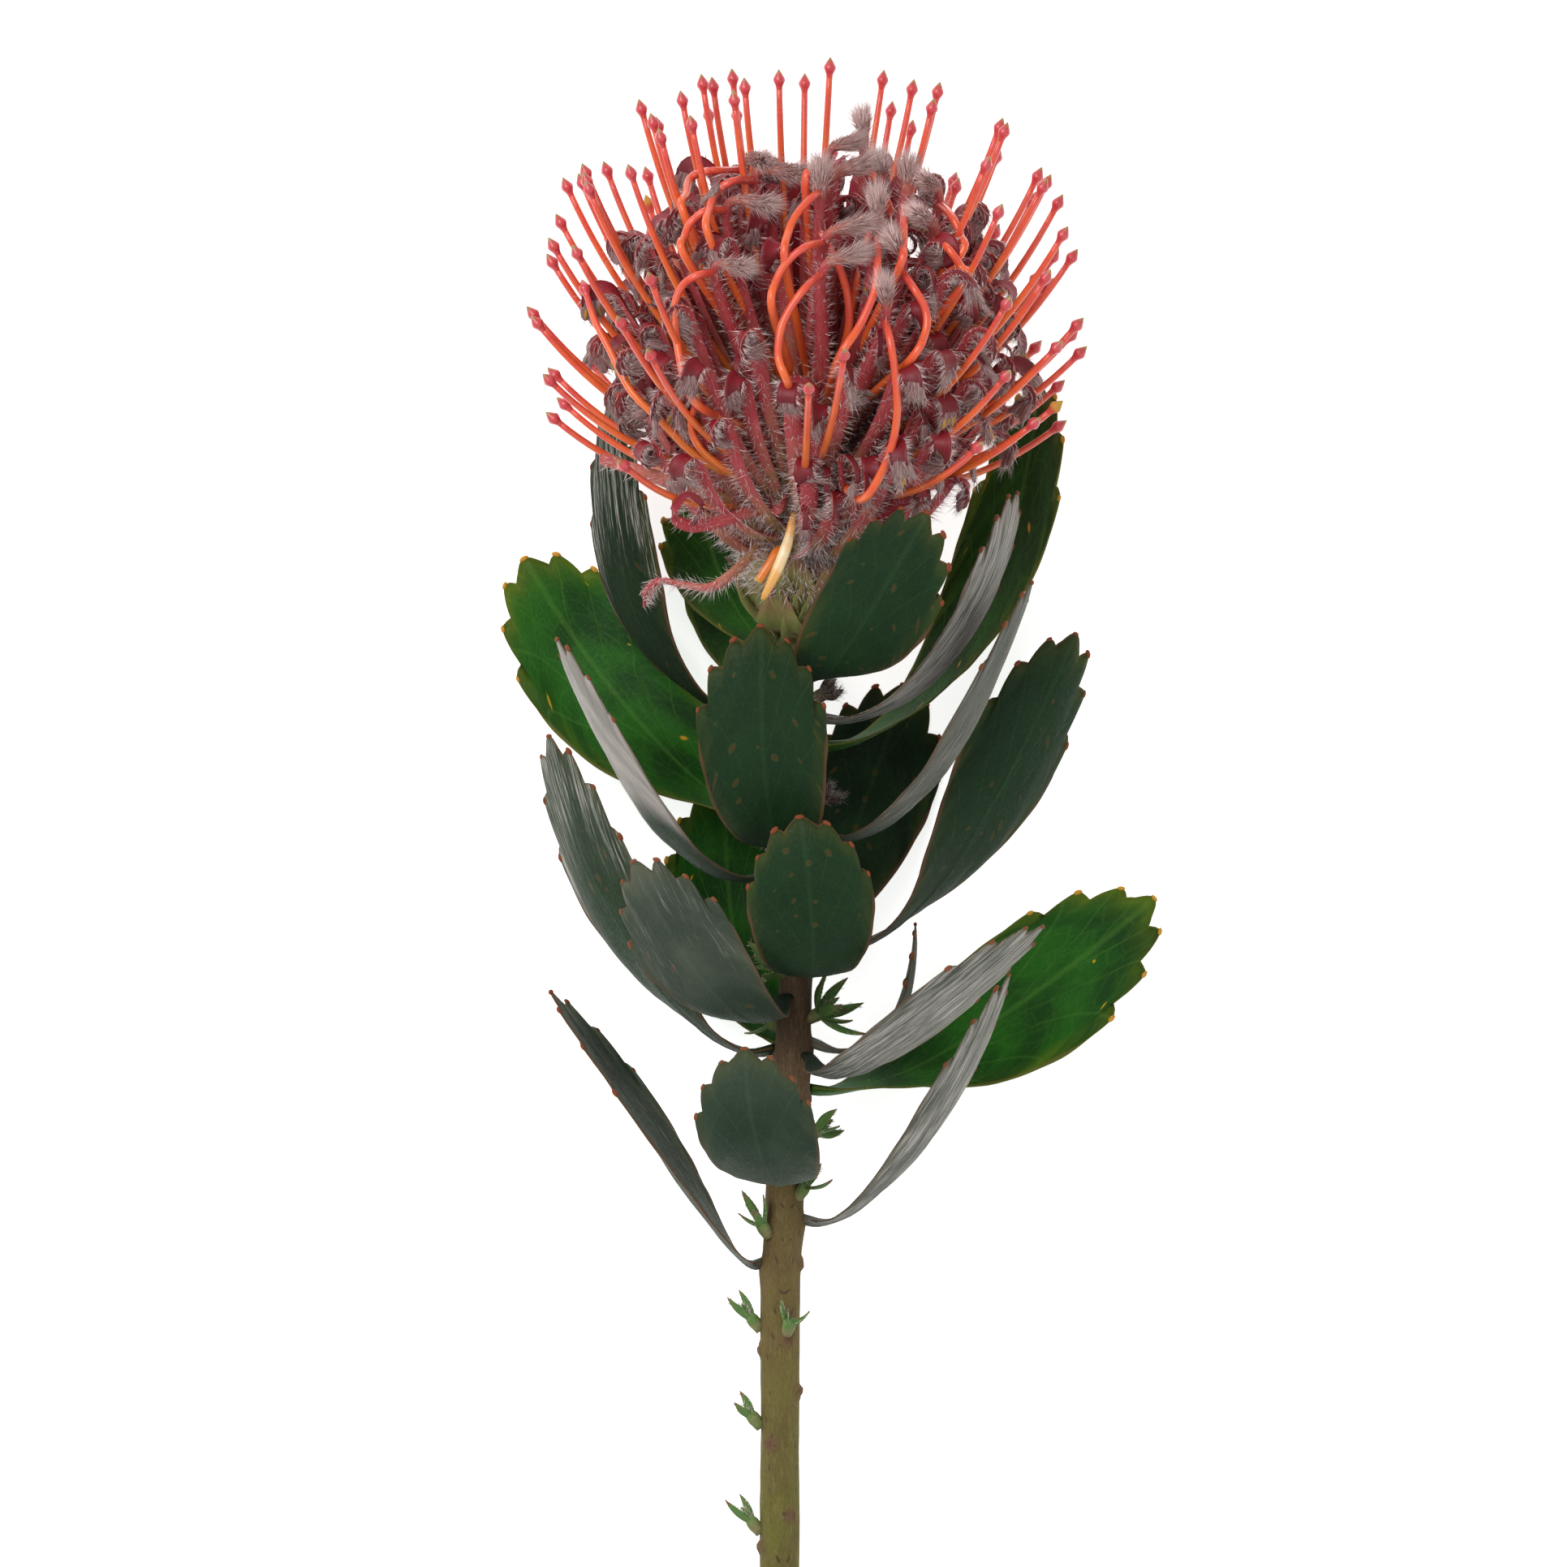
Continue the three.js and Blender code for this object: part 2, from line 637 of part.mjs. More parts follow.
function shootNode({ at, azimuth, leaflets, length, spread }) {
  const out = outward(azimuth);
  const main = out.clone().addScaledVector(vector(0, 1, 0), 0.55).normalize();
  const side = main.clone().cross(vector(0, 1, 0)).normalize();
  const over = side.clone().cross(main);
  const seat = stemPoint(at).addScaledVector(out, radiusAt(at) + clearance + 0.5);
  const heart = [0, 1.2, 2.6].map((d) => seat.clone().addScaledVector(main, d));
  const heartHalves = [0.9, 1.3, 0.4];
  const pieces = [bar(heart, side, (k) => [heartHalves[k], heartHalves[k]])];
  for (let k = 0; k < leaflets; k++) {
    const turn = (k / leaflets) * 2 * Math.PI + 0.6;
    const lean = radians(spread * lerp(0.75, 1.25, chance(k, at)));
    const reach = length * lerp(0.75, 1.15, chance(k, at + 1));
    const aside = side.clone().multiplyScalar(Math.cos(turn)).addScaledVector(over, Math.sin(turn));
    const across = side.clone().multiplyScalar(-Math.sin(turn)).addScaledVector(over, Math.cos(turn));
    const way = main.clone().multiplyScalar(Math.cos(lean)).addScaledVector(aside, Math.sin(lean));
    const start = seat.clone().addScaledVector(main, 0.9);
    const points = [0, 0.5, 1].map((t) => start.clone().addScaledVector(way, t * reach));
    const widths = [0.6, 1.1, 0.2];
    const depths = [0.6, 0.5, 0.2];
    pieces.push(bar(points, across, (j) => [widths[j], depths[j]]));
  }
  return joined(pieces);
}

// The whole flower
const flower = new THREE.Group();

function add(name, geometry, colour, roughness) {
  const material = new THREE.MeshStandardMaterial({ color: colours[colour], roughness, metalness: 0 });
  const mesh = new THREE.Mesh(geometry, material);
  mesh.name = name;
  flower.add(mesh);
}

add("stem", stemGeometry(), "stem", 0.75);
leaves.forEach((leaf, k) => add(`leaf_${k + 1}`, leafGeometry(leaf), leaf.colour, 0.6));
add("involucre", geometryOf(involucreNode()), "bract", 0.7);
add("styles", geometryOf(styleNode()), "style", 0.35);
add("perianths", geometryOf(perianthNode()), "perianth", 0.7);
sideShoots.forEach((shoot, k) => add(`side_shoot_${k + 1}`, geometryOf(shootNode(shoot)), "shoot", 0.6));
woollyBuds.forEach((bud, k) => add(`woolly_bud_${k + 1}`, geometryOf(shootNode(bud)), "woollyBud", 0.9));

export default flower;
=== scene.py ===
import random
from math import acos, atan2, cos, exp, hypot, pi, radians, sin, sqrt

import bmesh
import bpy
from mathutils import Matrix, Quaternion, Vector, noise


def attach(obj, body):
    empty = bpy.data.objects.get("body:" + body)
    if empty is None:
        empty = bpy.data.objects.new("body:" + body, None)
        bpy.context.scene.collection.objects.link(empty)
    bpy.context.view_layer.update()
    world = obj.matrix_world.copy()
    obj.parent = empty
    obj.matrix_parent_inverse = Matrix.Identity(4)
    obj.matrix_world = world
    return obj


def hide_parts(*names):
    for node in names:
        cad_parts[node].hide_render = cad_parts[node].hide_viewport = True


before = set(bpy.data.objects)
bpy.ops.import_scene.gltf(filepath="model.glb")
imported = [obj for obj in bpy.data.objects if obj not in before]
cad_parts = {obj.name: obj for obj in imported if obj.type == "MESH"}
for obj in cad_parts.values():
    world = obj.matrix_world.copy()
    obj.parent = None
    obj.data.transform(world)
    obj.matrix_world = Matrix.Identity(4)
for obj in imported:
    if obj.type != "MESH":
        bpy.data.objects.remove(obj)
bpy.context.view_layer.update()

# A pincushion protea, cut with its leafy stem and lying on its side, seen from straight above.
# Lengths are in millimetres until a mesh is made. +Y runs up the stem and +Z is up from the surface.

mm = 0.001
print("frame loaded,", len(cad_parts), "nodes")

stageLook = {
    "lens": 270.5,
    "cameraHeight": 2.0,
    "cameraOver": (-0.0073, 0.0250),
    "skyStrength": 0.42,
    "keyPower": 13.0,
    "keySize": 0.9,
    "keyPlace": (-0.55, 0.45, 1.15),
    "fillPower": 4.0,
    "fillSize": 1.2,
    "fillPlace": (0.75, -0.55, 0.9),
    "floorColour": "#f2f2f0",
    "floorGlow": 0.75,
}


def tint(code):
    parts = [int(code[i:i + 2], 16) / 255 for i in (1, 3, 5)]
    return (*[c / 12.92 if c <= 0.04045 else ((c + 0.055) / 1.055) ** 2.4 for c in parts], 1)


def softLamp(name, place, power, size):
    lamp = bpy.data.lights.new(name, "AREA")
    lamp.energy = power
    lamp.size = size
    holder = bpy.data.objects.new(name, lamp)
    holder.location = place
    holder.rotation_euler = Vector(place).to_track_quat("Z", "Y").to_euler()
    bpy.context.collection.objects.link(holder)


def makeStage():
    scene = bpy.context.scene
    camera = bpy.data.objects.new("plateCamera", bpy.data.cameras.new("plateCamera"))
    camera.data.lens = stageLook["lens"]
    camera.data.clip_end = 30
    camera.location = (*stageLook["cameraOver"], stageLook["cameraHeight"])
    bpy.context.collection.objects.link(camera)
    scene.camera = camera
    scene.view_settings.view_transform = "Standard"

    sky = bpy.data.worlds.new("paleRoom")
    sky.use_nodes = True
    sky.node_tree.nodes["Background"].inputs["Color"].default_value = (1, 1, 1, 1)
    sky.node_tree.nodes["Background"].inputs["Strength"].default_value = stageLook["skyStrength"]
    scene.world = sky
    softLamp("keySoftbox", stageLook["keyPlace"], stageLook["keyPower"], stageLook["keySize"])
    softLamp("fillSoftbox", stageLook["fillPlace"], stageLook["fillPower"], stageLook["fillSize"])

    mesh = bpy.data.meshes.new("paleSurface")
    mesh.from_pydata([(-4, -4, 0), (4, -4, 0), (4, 4, 0), (-4, 4, 0)], [], [(0, 1, 2, 3)])
    floor = bpy.data.objects.new("paleSurface", mesh)
    bpy.context.collection.objects.link(floor)
    paper = bpy.data.materials.new("palePaper")
    paper.use_nodes = True
    shader = paper.node_tree.nodes["Principled BSDF"]
    shader.inputs["Base Color"].default_value = tint(stageLook["floorColour"])
    shader.inputs["Roughness"].default_value = 0.9
    shader.inputs["Emission Color"].default_value = (1, 1, 1, 1)
    shader.inputs["Emission Strength"].default_value = stageLook["floorGlow"]
    mesh.materials.append(paper)


makeStage()
print("camera, lamps and surface placed")


def lerp(a, b, t):
    return a + (b - a) * t


def smooth(low, high, x):
    t = min(1.0, max(0.0, (x - low) / (high - low)))
    return t * t * (3 - 2 * t)


def chance(index, purpose):  # a repeatable number from 0 to 1
    return sin(index * 12.9898 + purpose * 78.233) * 43758.5453 % 1


def read(table, x):  # a value from a table of places and values
    for (x0, y0), (x1, y1) in zip(table, table[1:]):
        if x <= x1:
            return lerp(y0, y1, max(0.0, (x - x0) / (x1 - x0)))
    return table[-1][1]


# Helpers for shader nodes. They take colours as codes, and find the tree from the signal they are given


class Signal:  # a node's output that adds and multiplies like a number
    def __init__(self, socket):
        self.socket, self.tree = socket, socket.id_data

    def __add__(self, other):
        return maths("ADD", self, other)

    def __sub__(self, other):
        return maths("SUBTRACT", self, other)

    def __rsub__(self, other):
        return maths("SUBTRACT", other, self)

    def __mul__(self, other):
        return maths("MULTIPLY", self, other)

    def __truediv__(self, other):
        return maths("DIVIDE", self, other)

    def __rtruediv__(self, other):
        return maths("DIVIDE", other, self)

    __radd__, __rmul__ = __add__, __mul__


def feed(node, inputs):
    for name, value in inputs.items():
        if isinstance(value, Signal):
            node.id_data.links.new(value.socket, node.inputs[name])
        else:
            node.inputs[name].default_value = tint(value) if isinstance(value, str) else value
    return node


def addNode(tree, kind, inputs, **settings):
    node = tree.nodes.new("ShaderNode" + kind)
    node.location = (200 * (len(tree.nodes) % 10), -240 * (len(tree.nodes) // 10))
    for name, value in settings.items():
        setattr(node, name, value)
    return feed(node, inputs)


def signal(tree, kind, inputs, output=0, **settings):
    return Signal(addNode(tree, kind, inputs, **settings).outputs[output])


def maths(operation, a, b=0.5):
    tree = a.tree if isinstance(a, Signal) else b.tree
    return signal(tree, "Math", {0: a, 1: b}, operation=operation)


def coated(base, *coats):  # each coat is a mask and the colour it brings
    for share, colour in coats:
        base = signal(share.tree, "Mix", {0: share, 6: base, 7: colour}, 2, data_type="RGBA")
    return base


def spread(value, low, high, first=0.0, last=1.0):
    inputs = {"Value": value, "From Min": low, "From Max": high, "To Min": first, "To Max": last}
    return signal(value.tree, "MapRange", inputs, interpolation_type="SMOOTHSTEP")


def ramp(share, stops):
    node = addNode(share.tree, "ValToRGB", {"Fac": share})
    bands = node.color_ramp.elements
    bands.remove(bands[-1])
    bands[0].position, bands[0].color = stops[0][0], tint(stops[0][1])
    for place, code in stops[1:]:
        bands.new(place).color = tint(code)
    return Signal(node.outputs["Color"])


def mark(tree, name, output="Fac"):
    return signal(tree, "Attribute", {}, output, attribute_name=name)


def stretched(vector, scale):
    return signal(vector.tree, "VectorMath", {0: vector, 1: scale}, operation="MULTIPLY")


def shrunk(vector, size):
    return signal(vector.tree, "VectorMath", {0: vector, "Scale": 1.0 / size}, operation="SCALE")


def grainNoise(vector, scale, detail=2.0, rough=0.5):
    inputs = {"Vector": vector, "Scale": scale, "Detail": detail, "Roughness": rough}
    return signal(vector.tree, "TexNoise", inputs)


def split(vector):
    return [Signal(socket) for socket in addNode(vector.tree, "SeparateXYZ", {0: vector}).outputs]


def merged(x, y, z):
    return signal(x.tree, "CombineXYZ", {0: x, 1: y, 2: z})


def newGroup(name, inputs, outputs):
    group = bpy.data.node_groups.new(name, "ShaderNodeTree")
    for label, value in inputs.items():
        kind = "NodeSocketVector" if value is None else "NodeSocketFloat"
        socket = group.interface.new_socket(name=label, in_out="INPUT", socket_type=kind)
        if value is not None:
            socket.default_value = value
    for label in outputs:
        group.interface.new_socket(name=label, in_out="OUTPUT", socket_type="NodeSocketFloat")
    entry = {socket.name: Signal(socket) for socket in group.nodes.new("NodeGroupInput").outputs}
    return group, entry, group.nodes.new("NodeGroupOutput")


def useGroup(tree, group, **inputs):
    node = addNode(tree, "Group", inputs, node_tree=group)
    return {socket.name: Signal(socket) for socket in node.outputs}


def makeSilkyHair():  # pressed silky hairs, in streaks along a surface
    inputs = {"Grain": None, "Fineness": 2.2, "Length": 9.0, "Cover": 0.5}
    group, entry, leave = newGroup("silkyHair", inputs, ["Mask", "Height"])
    x, y, z = split(entry["Grain"])
    near = merged(x * entry["Fineness"], y / entry["Length"], z)
    wide = grainNoise(near, 0.9, 2.0, 0.55)
    thin = grainNoise(near, 3.4, 3.0, 0.6)
    bare = 0.66 - entry["Cover"] * 0.3
    feed(leave, {"Mask": spread(wide * 0.4 + thin * 0.6 - bare, -0.03, 0.11), "Height": thin})
    return group


def makeUnevenTone():  # slow patches of tone with a fine grain over them
    inputs = {"Place": None, "Patch": 8.0, "Grit": 0.6}
    group, entry, leave = newGroup("unevenTone", inputs, ["Patches", "Grain"])
    slow = grainNoise(shrunk(entry["Place"], entry["Patch"]), 1.0, 3.0)
    quick = grainNoise(shrunk(entry["Place"], entry["Grit"]), 1.0, 2.0)
    feed(leave, {"Patches": spread(slow, 0.32, 0.68), "Grain": spread(quick, 0.3, 0.7)})
    return group


def makeCallusSpots():  # scattered spots, a core inside a halo
    inputs = {"Place": None, "Spacing": 5.0, "Share": 0.3, "Size": 0.1}
    group, entry, leave = newGroup("callusSpots", inputs, ["Core", "Halo"])
    x, y, z = split(shrunk(entry["Place"], entry["Spacing"]))
    flat = {"Vector": merged(x + z * 5.3, y, 0.0), "Scale": 1.0}
    cells = addNode(group, "TexVoronoi", flat, voronoi_dimensions="2D").outputs
    pick = signal(group, "SeparateColor", {0: Signal(cells["Color"])})
    has = maths("LESS_THAN", pick, entry["Share"])
    near = Signal(cells["Distance"]) / (entry["Size"] * (pick / entry["Share"] + 0.5))
    core, halo = spread(near, 0.85, 1.2, 1.0, 0.0), spread(near, 1.0, 2.0, 1.0, 0.0)
    feed(leave, {"Core": core * has, "Halo": halo * has})
    return group


def makeLeafVeins():  # Blade holds the place across, from -1 to 1, and along, from 0 to 1
    group, entry, leave = newGroup("leafVeins", {"Blade": None, "Count": 6.0}, ["Veins", "Net"])
    across, share = split(entry["Blade"])[:2]
    aside = maths("ABSOLUTE", across)
    midrib = spread(aside, 0.012, 0.07, 1.0, 0.0)
    wobble = grainNoise(entry["Blade"], 2.4, 1.0) * 0.8
    run = share * entry["Count"] - aside * 3.4 + maths("SIGN", across) * 0.22 + wobble
    long = spread(maths("ABSOLUTE", maths("FRACT", run) - 0.5), 0.0, 0.06, 0.75, 0.0)
    spaced = {"Vector": stretched(entry["Blade"], (5.0, 17.0, 1.0)), "Scale": 1.0}
    cells = signal(group, "TexVoronoi", spaced, feature="DISTANCE_TO_EDGE")
    feed(leave, {"Veins": maths("MAXIMUM", midrib, long), "Net": spread(cells, 0.0, 0.09, 1.0, 0.0)})
    return group


silkyHair = makeSilkyHair()
unevenTone = makeUnevenTone()
callusSpots = makeCallusSpots()
leafVeins = makeLeafVeins()


def newMaterial(name, **fixed):
    material = bpy.data.materials.new(name)
    material.use_nodes = True
    shader = material.node_tree.nodes["Principled BSDF"]
    shader.location = (2200, 0)
    material.node_tree.nodes["Material Output"].location = (2500, 0)
    feed(shader, {label.replace("_", " "): value for label, value in fixed.items()})
    return material, material.node_tree, shader


def raised(height, strength, distance=0.0002):
    return signal(height.tree, "Bump", {"Strength": strength, "Distance": distance, "Height": height})


# Helpers for meshes. A pile gathers points, faces and what the materials read off each point:
# its grain (across, along, seed, in mm), its place on a leaf's blade, and any marks

lowest = {"sweep": 0.05, "cap": 0.03, "bulk": 0.02, "hairRoot": 0.1, "hairTip": 0.06}  # above the surface


def newPile(*marks):
    return {"points": [], "faces": [], "grain": [], "blade": [], "marks": {name: [] for name in marks}}


def addPoint(pile, point, grain, values, blade=()):
    pile["points"].append(point)
    pile["grain"].extend(grain)
    pile["blade"].extend(blade)
    for kept, value in zip(pile["marks"].values(), values):
        kept.append(value)


def joinRings(pile, start, rings, count):
    faces = pile["faces"]
    for r in range(rings - 1):
        for k in range(count):
            a = start + r * count + k
            b = start + r * count + (k + 1) % count
            faces.append((a, b, b + count, a + count))
    last = start + (rings - 1) * count
    faces.append(tuple(start + k for k in reversed(range(count))))
    faces.append(tuple(last + k for k in range(count)))


def addRings(pile, rings, sides, pointAt):  # pointAt gives the point, its grain, its marks and its blade
    start = len(pile["points"])
    for ring in range(rings):
        for k in range(sides):
            addPoint(pile, *pointAt(ring, k))
    joinRings(pile, start, rings, sides)


def framesOf(path, across, twistAt):  # each point with its side, its depth and its direction
    found = []
    for i, point in enumerate(path):
        way = (path[min(i + 1, len(path) - 1)] - path[max(i - 1, 0)]).normalized()
        side = (across - way * across.dot(way)).normalized()
        deep = way.cross(side)
        turn = twistAt(i / (len(path) - 1))
        found.append((point, side * cos(turn) + deep * sin(turn), deep * cos(turn) - side * sin(turn), way))
    return found


def untwisted(share):
    return 0.0


def addSweep(pile, path, across, sectionAt, valuesAt, seed, twistAt=untwisted):
    steps = framesOf(path, across, twistAt)
    start = len(pile["points"])
    length = 0.0
    for i, (centre, side, deep, way) in enumerate(steps):
        if i:
            length += (path[i] - path[i - 1]).length
        share = i / (len(steps) - 1)
        section = sectionAt(share)
        values = valuesAt(share)
        for w, d, inner in section:
            point = centre + side * w + deep * d
            point.z = max(point.z, lowest["sweep"])
            addPoint(pile, point, (w, length, seed * 7.31), (*values, inner))
    joinRings(pile, start, len(steps), len(section))
    return steps


def spotOn(frames, spot):  # the frame at a place between two of them
    k = int(spot)
    centre, side, deep, way = frames[k]
    return centre.lerp(frames[k + 1][0], spot - k), side, deep, way


def strayed(sprout, amount):
    return Vector([sprout.gauss(0, amount) for axis in range(3)])


def onBulge(centre, side, over, up, lift, share):  # a point on a lump, its height in degrees
    turn, lift = 2 * pi * share, radians(lift)
    point = centre + (side * cos(turn) + over * sin(turn)) * cos(lift) + up * sin(lift)
    point.z = max(point.z, lowest["cap"])
    return point


def roundSection(radius, sides=8):
    turns = [2 * pi * k / sides for k in range(sides)]
    return [(radius * cos(t), radius * sin(t), 0.0) for t in turns]


def flatSection(radius, flatness, sides):
    return [(w, d * flatness, inner) for w, d, inner in roundSection(radius, sides)]


def bladeSection(half, thick, cup, count=5, roundness=0.0, radius=1.0):
    loop = []
    for face in (1, -1):
        for k in range(count):
            share = k / (count - 1)
            p = (2 * share - 1) * face
            turn = pi * lerp(0.94, 0.06, share)
            if face < 0:
                turn = pi * lerp(-0.06, -0.94, share)
            w = lerp(half * p, radius * cos(turn), roundness)
            d = lerp(face * thick * (1 - 0.7 * p * p) - cup * p * p, radius * sin(turn), roundness)
            loop.append((w, d, 0.0 if face > 0 else 1.0))
    return loop


def addHair(pile, root, way, length, width, shade):
    aside = way.orthogonal().normalized() * width
    over = way.cross(aside)
    start = len(pile["points"])
    tip = root + way * length
    tip.z = max(tip.z, lowest["hairTip"])
    for point in (root + aside, root + over * 0.87 - aside * 0.5, root - over * 0.87 - aside * 0.5):
        addPoint(pile, point, (0, 0, shade), (0.0, shade))
    addPoint(pile, tip, (0, length, shade), (1.0, shade))
    a, b, c, d = range(start, start + 4)
    pile["faces"].extend([(a, b, d), (b, c, d), (c, a, d), (a, c, b)])


def pieceFrom(pile, name, nodes, material, sort=True):
    mesh = bpy.data.meshes.new(name)
    mesh.from_pydata([point * mm for point in pile["points"]], [], pile["faces"])
    for label, values in pile["marks"].items():
        mesh.attributes.new(label, "FLOAT", "POINT").data.foreach_set("value", values)
    for label in ("grain", "blade"):
        if pile[label]:
            mesh.attributes.new(label, "FLOAT_VECTOR", "POINT").data.foreach_set("vector", pile[label])
    if sort:
        work = bmesh.new()
        work.from_mesh(mesh)
        bmesh.ops.recalc_face_normals(work, faces=work.faces)
        work.to_mesh(mesh)
        work.free()
    mesh.shade_smooth()
    mesh.materials.append(material)
    piece = bpy.data.objects.new(name, mesh)
    bpy.context.collection.objects.link(piece)
    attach(piece, "root")
    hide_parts(*nodes)


def bezier(corners, t):
    u = 1 - t
    if len(corners) == 3:
        a, b, c = corners
        return a * (u * u) + b * (2 * u * t) + c * (t * t)
    a, b, c, d = corners
    return a * (u * u * u) + b * (3 * u * u * t) + c * (3 * u * t * t) + d * (t * t * t)


def bezierWay(corners, t):
    return (bezier(corners, min(1.0, t + 0.001)) - bezier(corners, max(0.0, t - 0.001))).normalized()


def softPath(points, between):  # a soft curve through points
    ends = [points[0] * 2 - points[1], *points, points[-1] * 2 - points[-2]]
    path = []
    for k in range(1, len(ends) - 2):
        before, a, b, after = ends[k - 1:k + 3]
        for step in range(between):
            t = step / between
            bend = (before * -1 + a * 3 - b * 3 + after) * (t * t * t)
            bend += (before * 2 - a * 5 + b * 4 - after) * (t * t)
            path.append((bend + (b - before) * t + a * 2) * 0.5)
    return [*path, points[-1]]


# The stem

stemLook = {
    "radius": 3.3,
    "upperRadius": 2.5,
    "cutX": -8.0,
    "cutY": -146.0,
    "slope": 0.135,
    "rows": 260,
    "sides": 40,
    "cushionTurn": 26,
    "cushionAbove": 1.5,
    "cushionBelow": 3.4,
    "scarTurn": 17,
    "scarUp": 0.75,
    "scars": [(-70.5, 172, 1.3), (-56, 5, 1.2), (-68.5, 68, 0.8), (-77.5, 14, 1.2), (-86.4, 120, 0.8),
              (-98.5, 60, 0.9), (-104, 165, 1.1), (-118, 95, 0.8), (-131, 150, 0.8), (-28, 15, 0.8)],
}
headBase = Vector((-4.6, 57, 32.6))
headAxis = Vector((0.035, 0.95, 0.31)).normalized()
headRight = (Vector((1, 0, 0)) - headAxis * headAxis.x).normalized()
headFront = headRight.cross(headAxis)
neckDrop = 7.0


def onAxis(height):
    return headBase + headAxis * height


def stemPoint(y):
    neck = onAxis(-neckDrop)
    straight = stemLook["radius"] + stemLook["slope"] * (y - stemLook["cutY"])
    lift = neck.z - stemLook["radius"] - stemLook["slope"] * (neck.y - stemLook["cutY"])
    x = lerp(stemLook["cutX"], neck.x, smooth(-70, 10, y))
    return Vector((x, y, straight + lift * smooth(0, neck.y, y)))


def radiusAt(y):
    return lerp(stemLook["radius"], stemLook["upperRadius"], smooth(-40, 10, y))


def outward(azimuth):
    turn = radians(azimuth)
    return Vector((cos(turn), 0, sin(turn)))


def apart(azimuth, other):
    return (azimuth - other + 180) % 360 - 180


def stemRelief(y, azimuth, cushions):  # how far the bark stands out, in mm
    relief = 0.0
    for at, turn, height in cushions:
        aside = apart(azimuth, turn) / stemLook["cushionTurn"]
        down = (y - at) / stemLook["cushionAbove" if y > at else "cushionBelow"]
        relief += height * exp(-aside * aside - down * down)
    for at, turn, height in stemLook["scars"]:
        ring = hypot(apart(azimuth, turn) / stemLook["scarTurn"], (y - at) / stemLook["scarUp"])
        relief += height * (exp(-((ring - 1.0) / 0.45) ** 2) * 0.55 - 0.25 * exp(-ring * ring * 2))
    place = outward(azimuth) * 1.5 + Vector((0, y * 0.07, 0))
    return relief + 0.16 * noise.noise(place) + 0.05 * noise.noise(place * 5.1)


def wornAt(y, azimuth):  # the scars are bare and brown
    near = [exp(-(apart(azimuth, turn) / 20) ** 2 - ((y - at) / 1.3) ** 2)
            for at, turn, height in stemLook["scars"]]
    return min(1.0, sum(near) * 1.3)


def makeStem(material, cushions):
    rows, sides = stemLook["rows"], stemLook["sides"]
    pile = newPile("height", "scar")
    for i in range(rows):
        share = i / (rows - 1)
        y = lerp(stemLook["cutY"], onAxis(-neckDrop).y, share)
        fromCut = y - stemLook["cutY"]
        centre = stemPoint(y)
        square = smooth(0.8, 1, share)
        across = Vector((1, 0, 0)).lerp(headRight, square).normalized()
        deep = Vector((0, 0, 1)).lerp(headFront, square).normalized()
        rim = 0.35 * (1 - smooth(0, 0.9, fromCut))
        for k in range(sides):
            azimuth = 360 * k / sides
            turn = radians(azimuth)
            radius = radiusAt(y) + stemRelief(y, azimuth, cushions) * smooth(0, 4, fromCut) - rim
            point = centre + across * (radius * cos(turn)) + deep * (radius * sin(turn))
            point.z = max(point.z, lowest["bulk"])
            addPoint(pile, point, (turn * 3, y, 0), (share, wornAt(y, azimuth)))
    joinRings(pile, 0, rows, sides)
    pieceFrom(pile, "stemBark", ["stem"], material)


def makeBark():
    material, tree, shader = newMaterial("downyBark", Roughness=0.78, Specular_IOR_Level=0.2)
    place = stretched(signal(tree, "TexCoord", {}, "Object"), (1000, 1000, 1000))
    tone = useGroup(tree, unevenTone, Place=stretched(place, (1, 0.35, 1)), Patch=3.5, Grit=0.35)
    streak = grainNoise(stretched(place, (2.6, 0.16, 2.6)), 1.0, 4.0, 0.6)
    flat = stretched(place, (1, 0.6, 1))
    spots = useGroup(tree, callusSpots, Place=flat, Spacing=2.1, Share=0.3, Size=0.13)
    base = ramp(mark(tree, "height"),
                [(0.0, "#6d6c2c"), (0.22, "#66642a"), (0.42, "#6a5d30"), (0.55, "#62502f"),
                 (0.66, "#5a4636"), (0.8, "#564535"), (1.0, "#5d5b36")])
    colour = coated(
        base,
        (tone["Patches"] * 0.4, "#553a2a"),
        (spread(streak, 0.5, 0.72, 0.0, 0.34), "#8f8048"),
        (spots["Core"] * 0.7, "#3b2a24"),
        (mark(tree, "scar") * 0.75, "#6b4a3c"),
        (tone["Grain"] * 0.07, "#9b9284"),
    )
    relief = streak * 0.3 + tone["Grain"] - spots["Core"]
    feed(shader, {"Base Color": colour, "Normal": raised(relief, 0.55, 0.00025)})
    return material


# The leaves

leafLook = {
    "columns": 65,
    "rows": 27,
    "edge": 0.13,
    "thick": 0.25,
    "petiole": 0.85,
    "petioleShare": 0.2,
    "apexShare": 0.3,
    "midrib": 0.3,
    "cup": 0.22,
    "wave": 0.42,
    "tooth": 1.1,
    "gland": 0.46,
    "seat": 0.52,
    "rootDepth": 0.6,
    "blade": 0.34,
}
toothLine = [  # degrees from the tip, and how far the edge stands out there
    (0, 1.4), (4, 1.15), (11, -0.1), (17, -0.75), (20, 0.4), (23.5, 1.2), (26, 1.1), (33, 0.3), (40, -0.7),
    (43, 0.5), (46.5, 1.2), (49, 1.1), (56, 0.3), (62, -0.6), (65, 0.4), (68.5, 1.0), (72, 0.9),
    (80, 0.5), (90, 0.45),
]
glandTurns = [0, -24, 24, -47, 47, -69, 69]
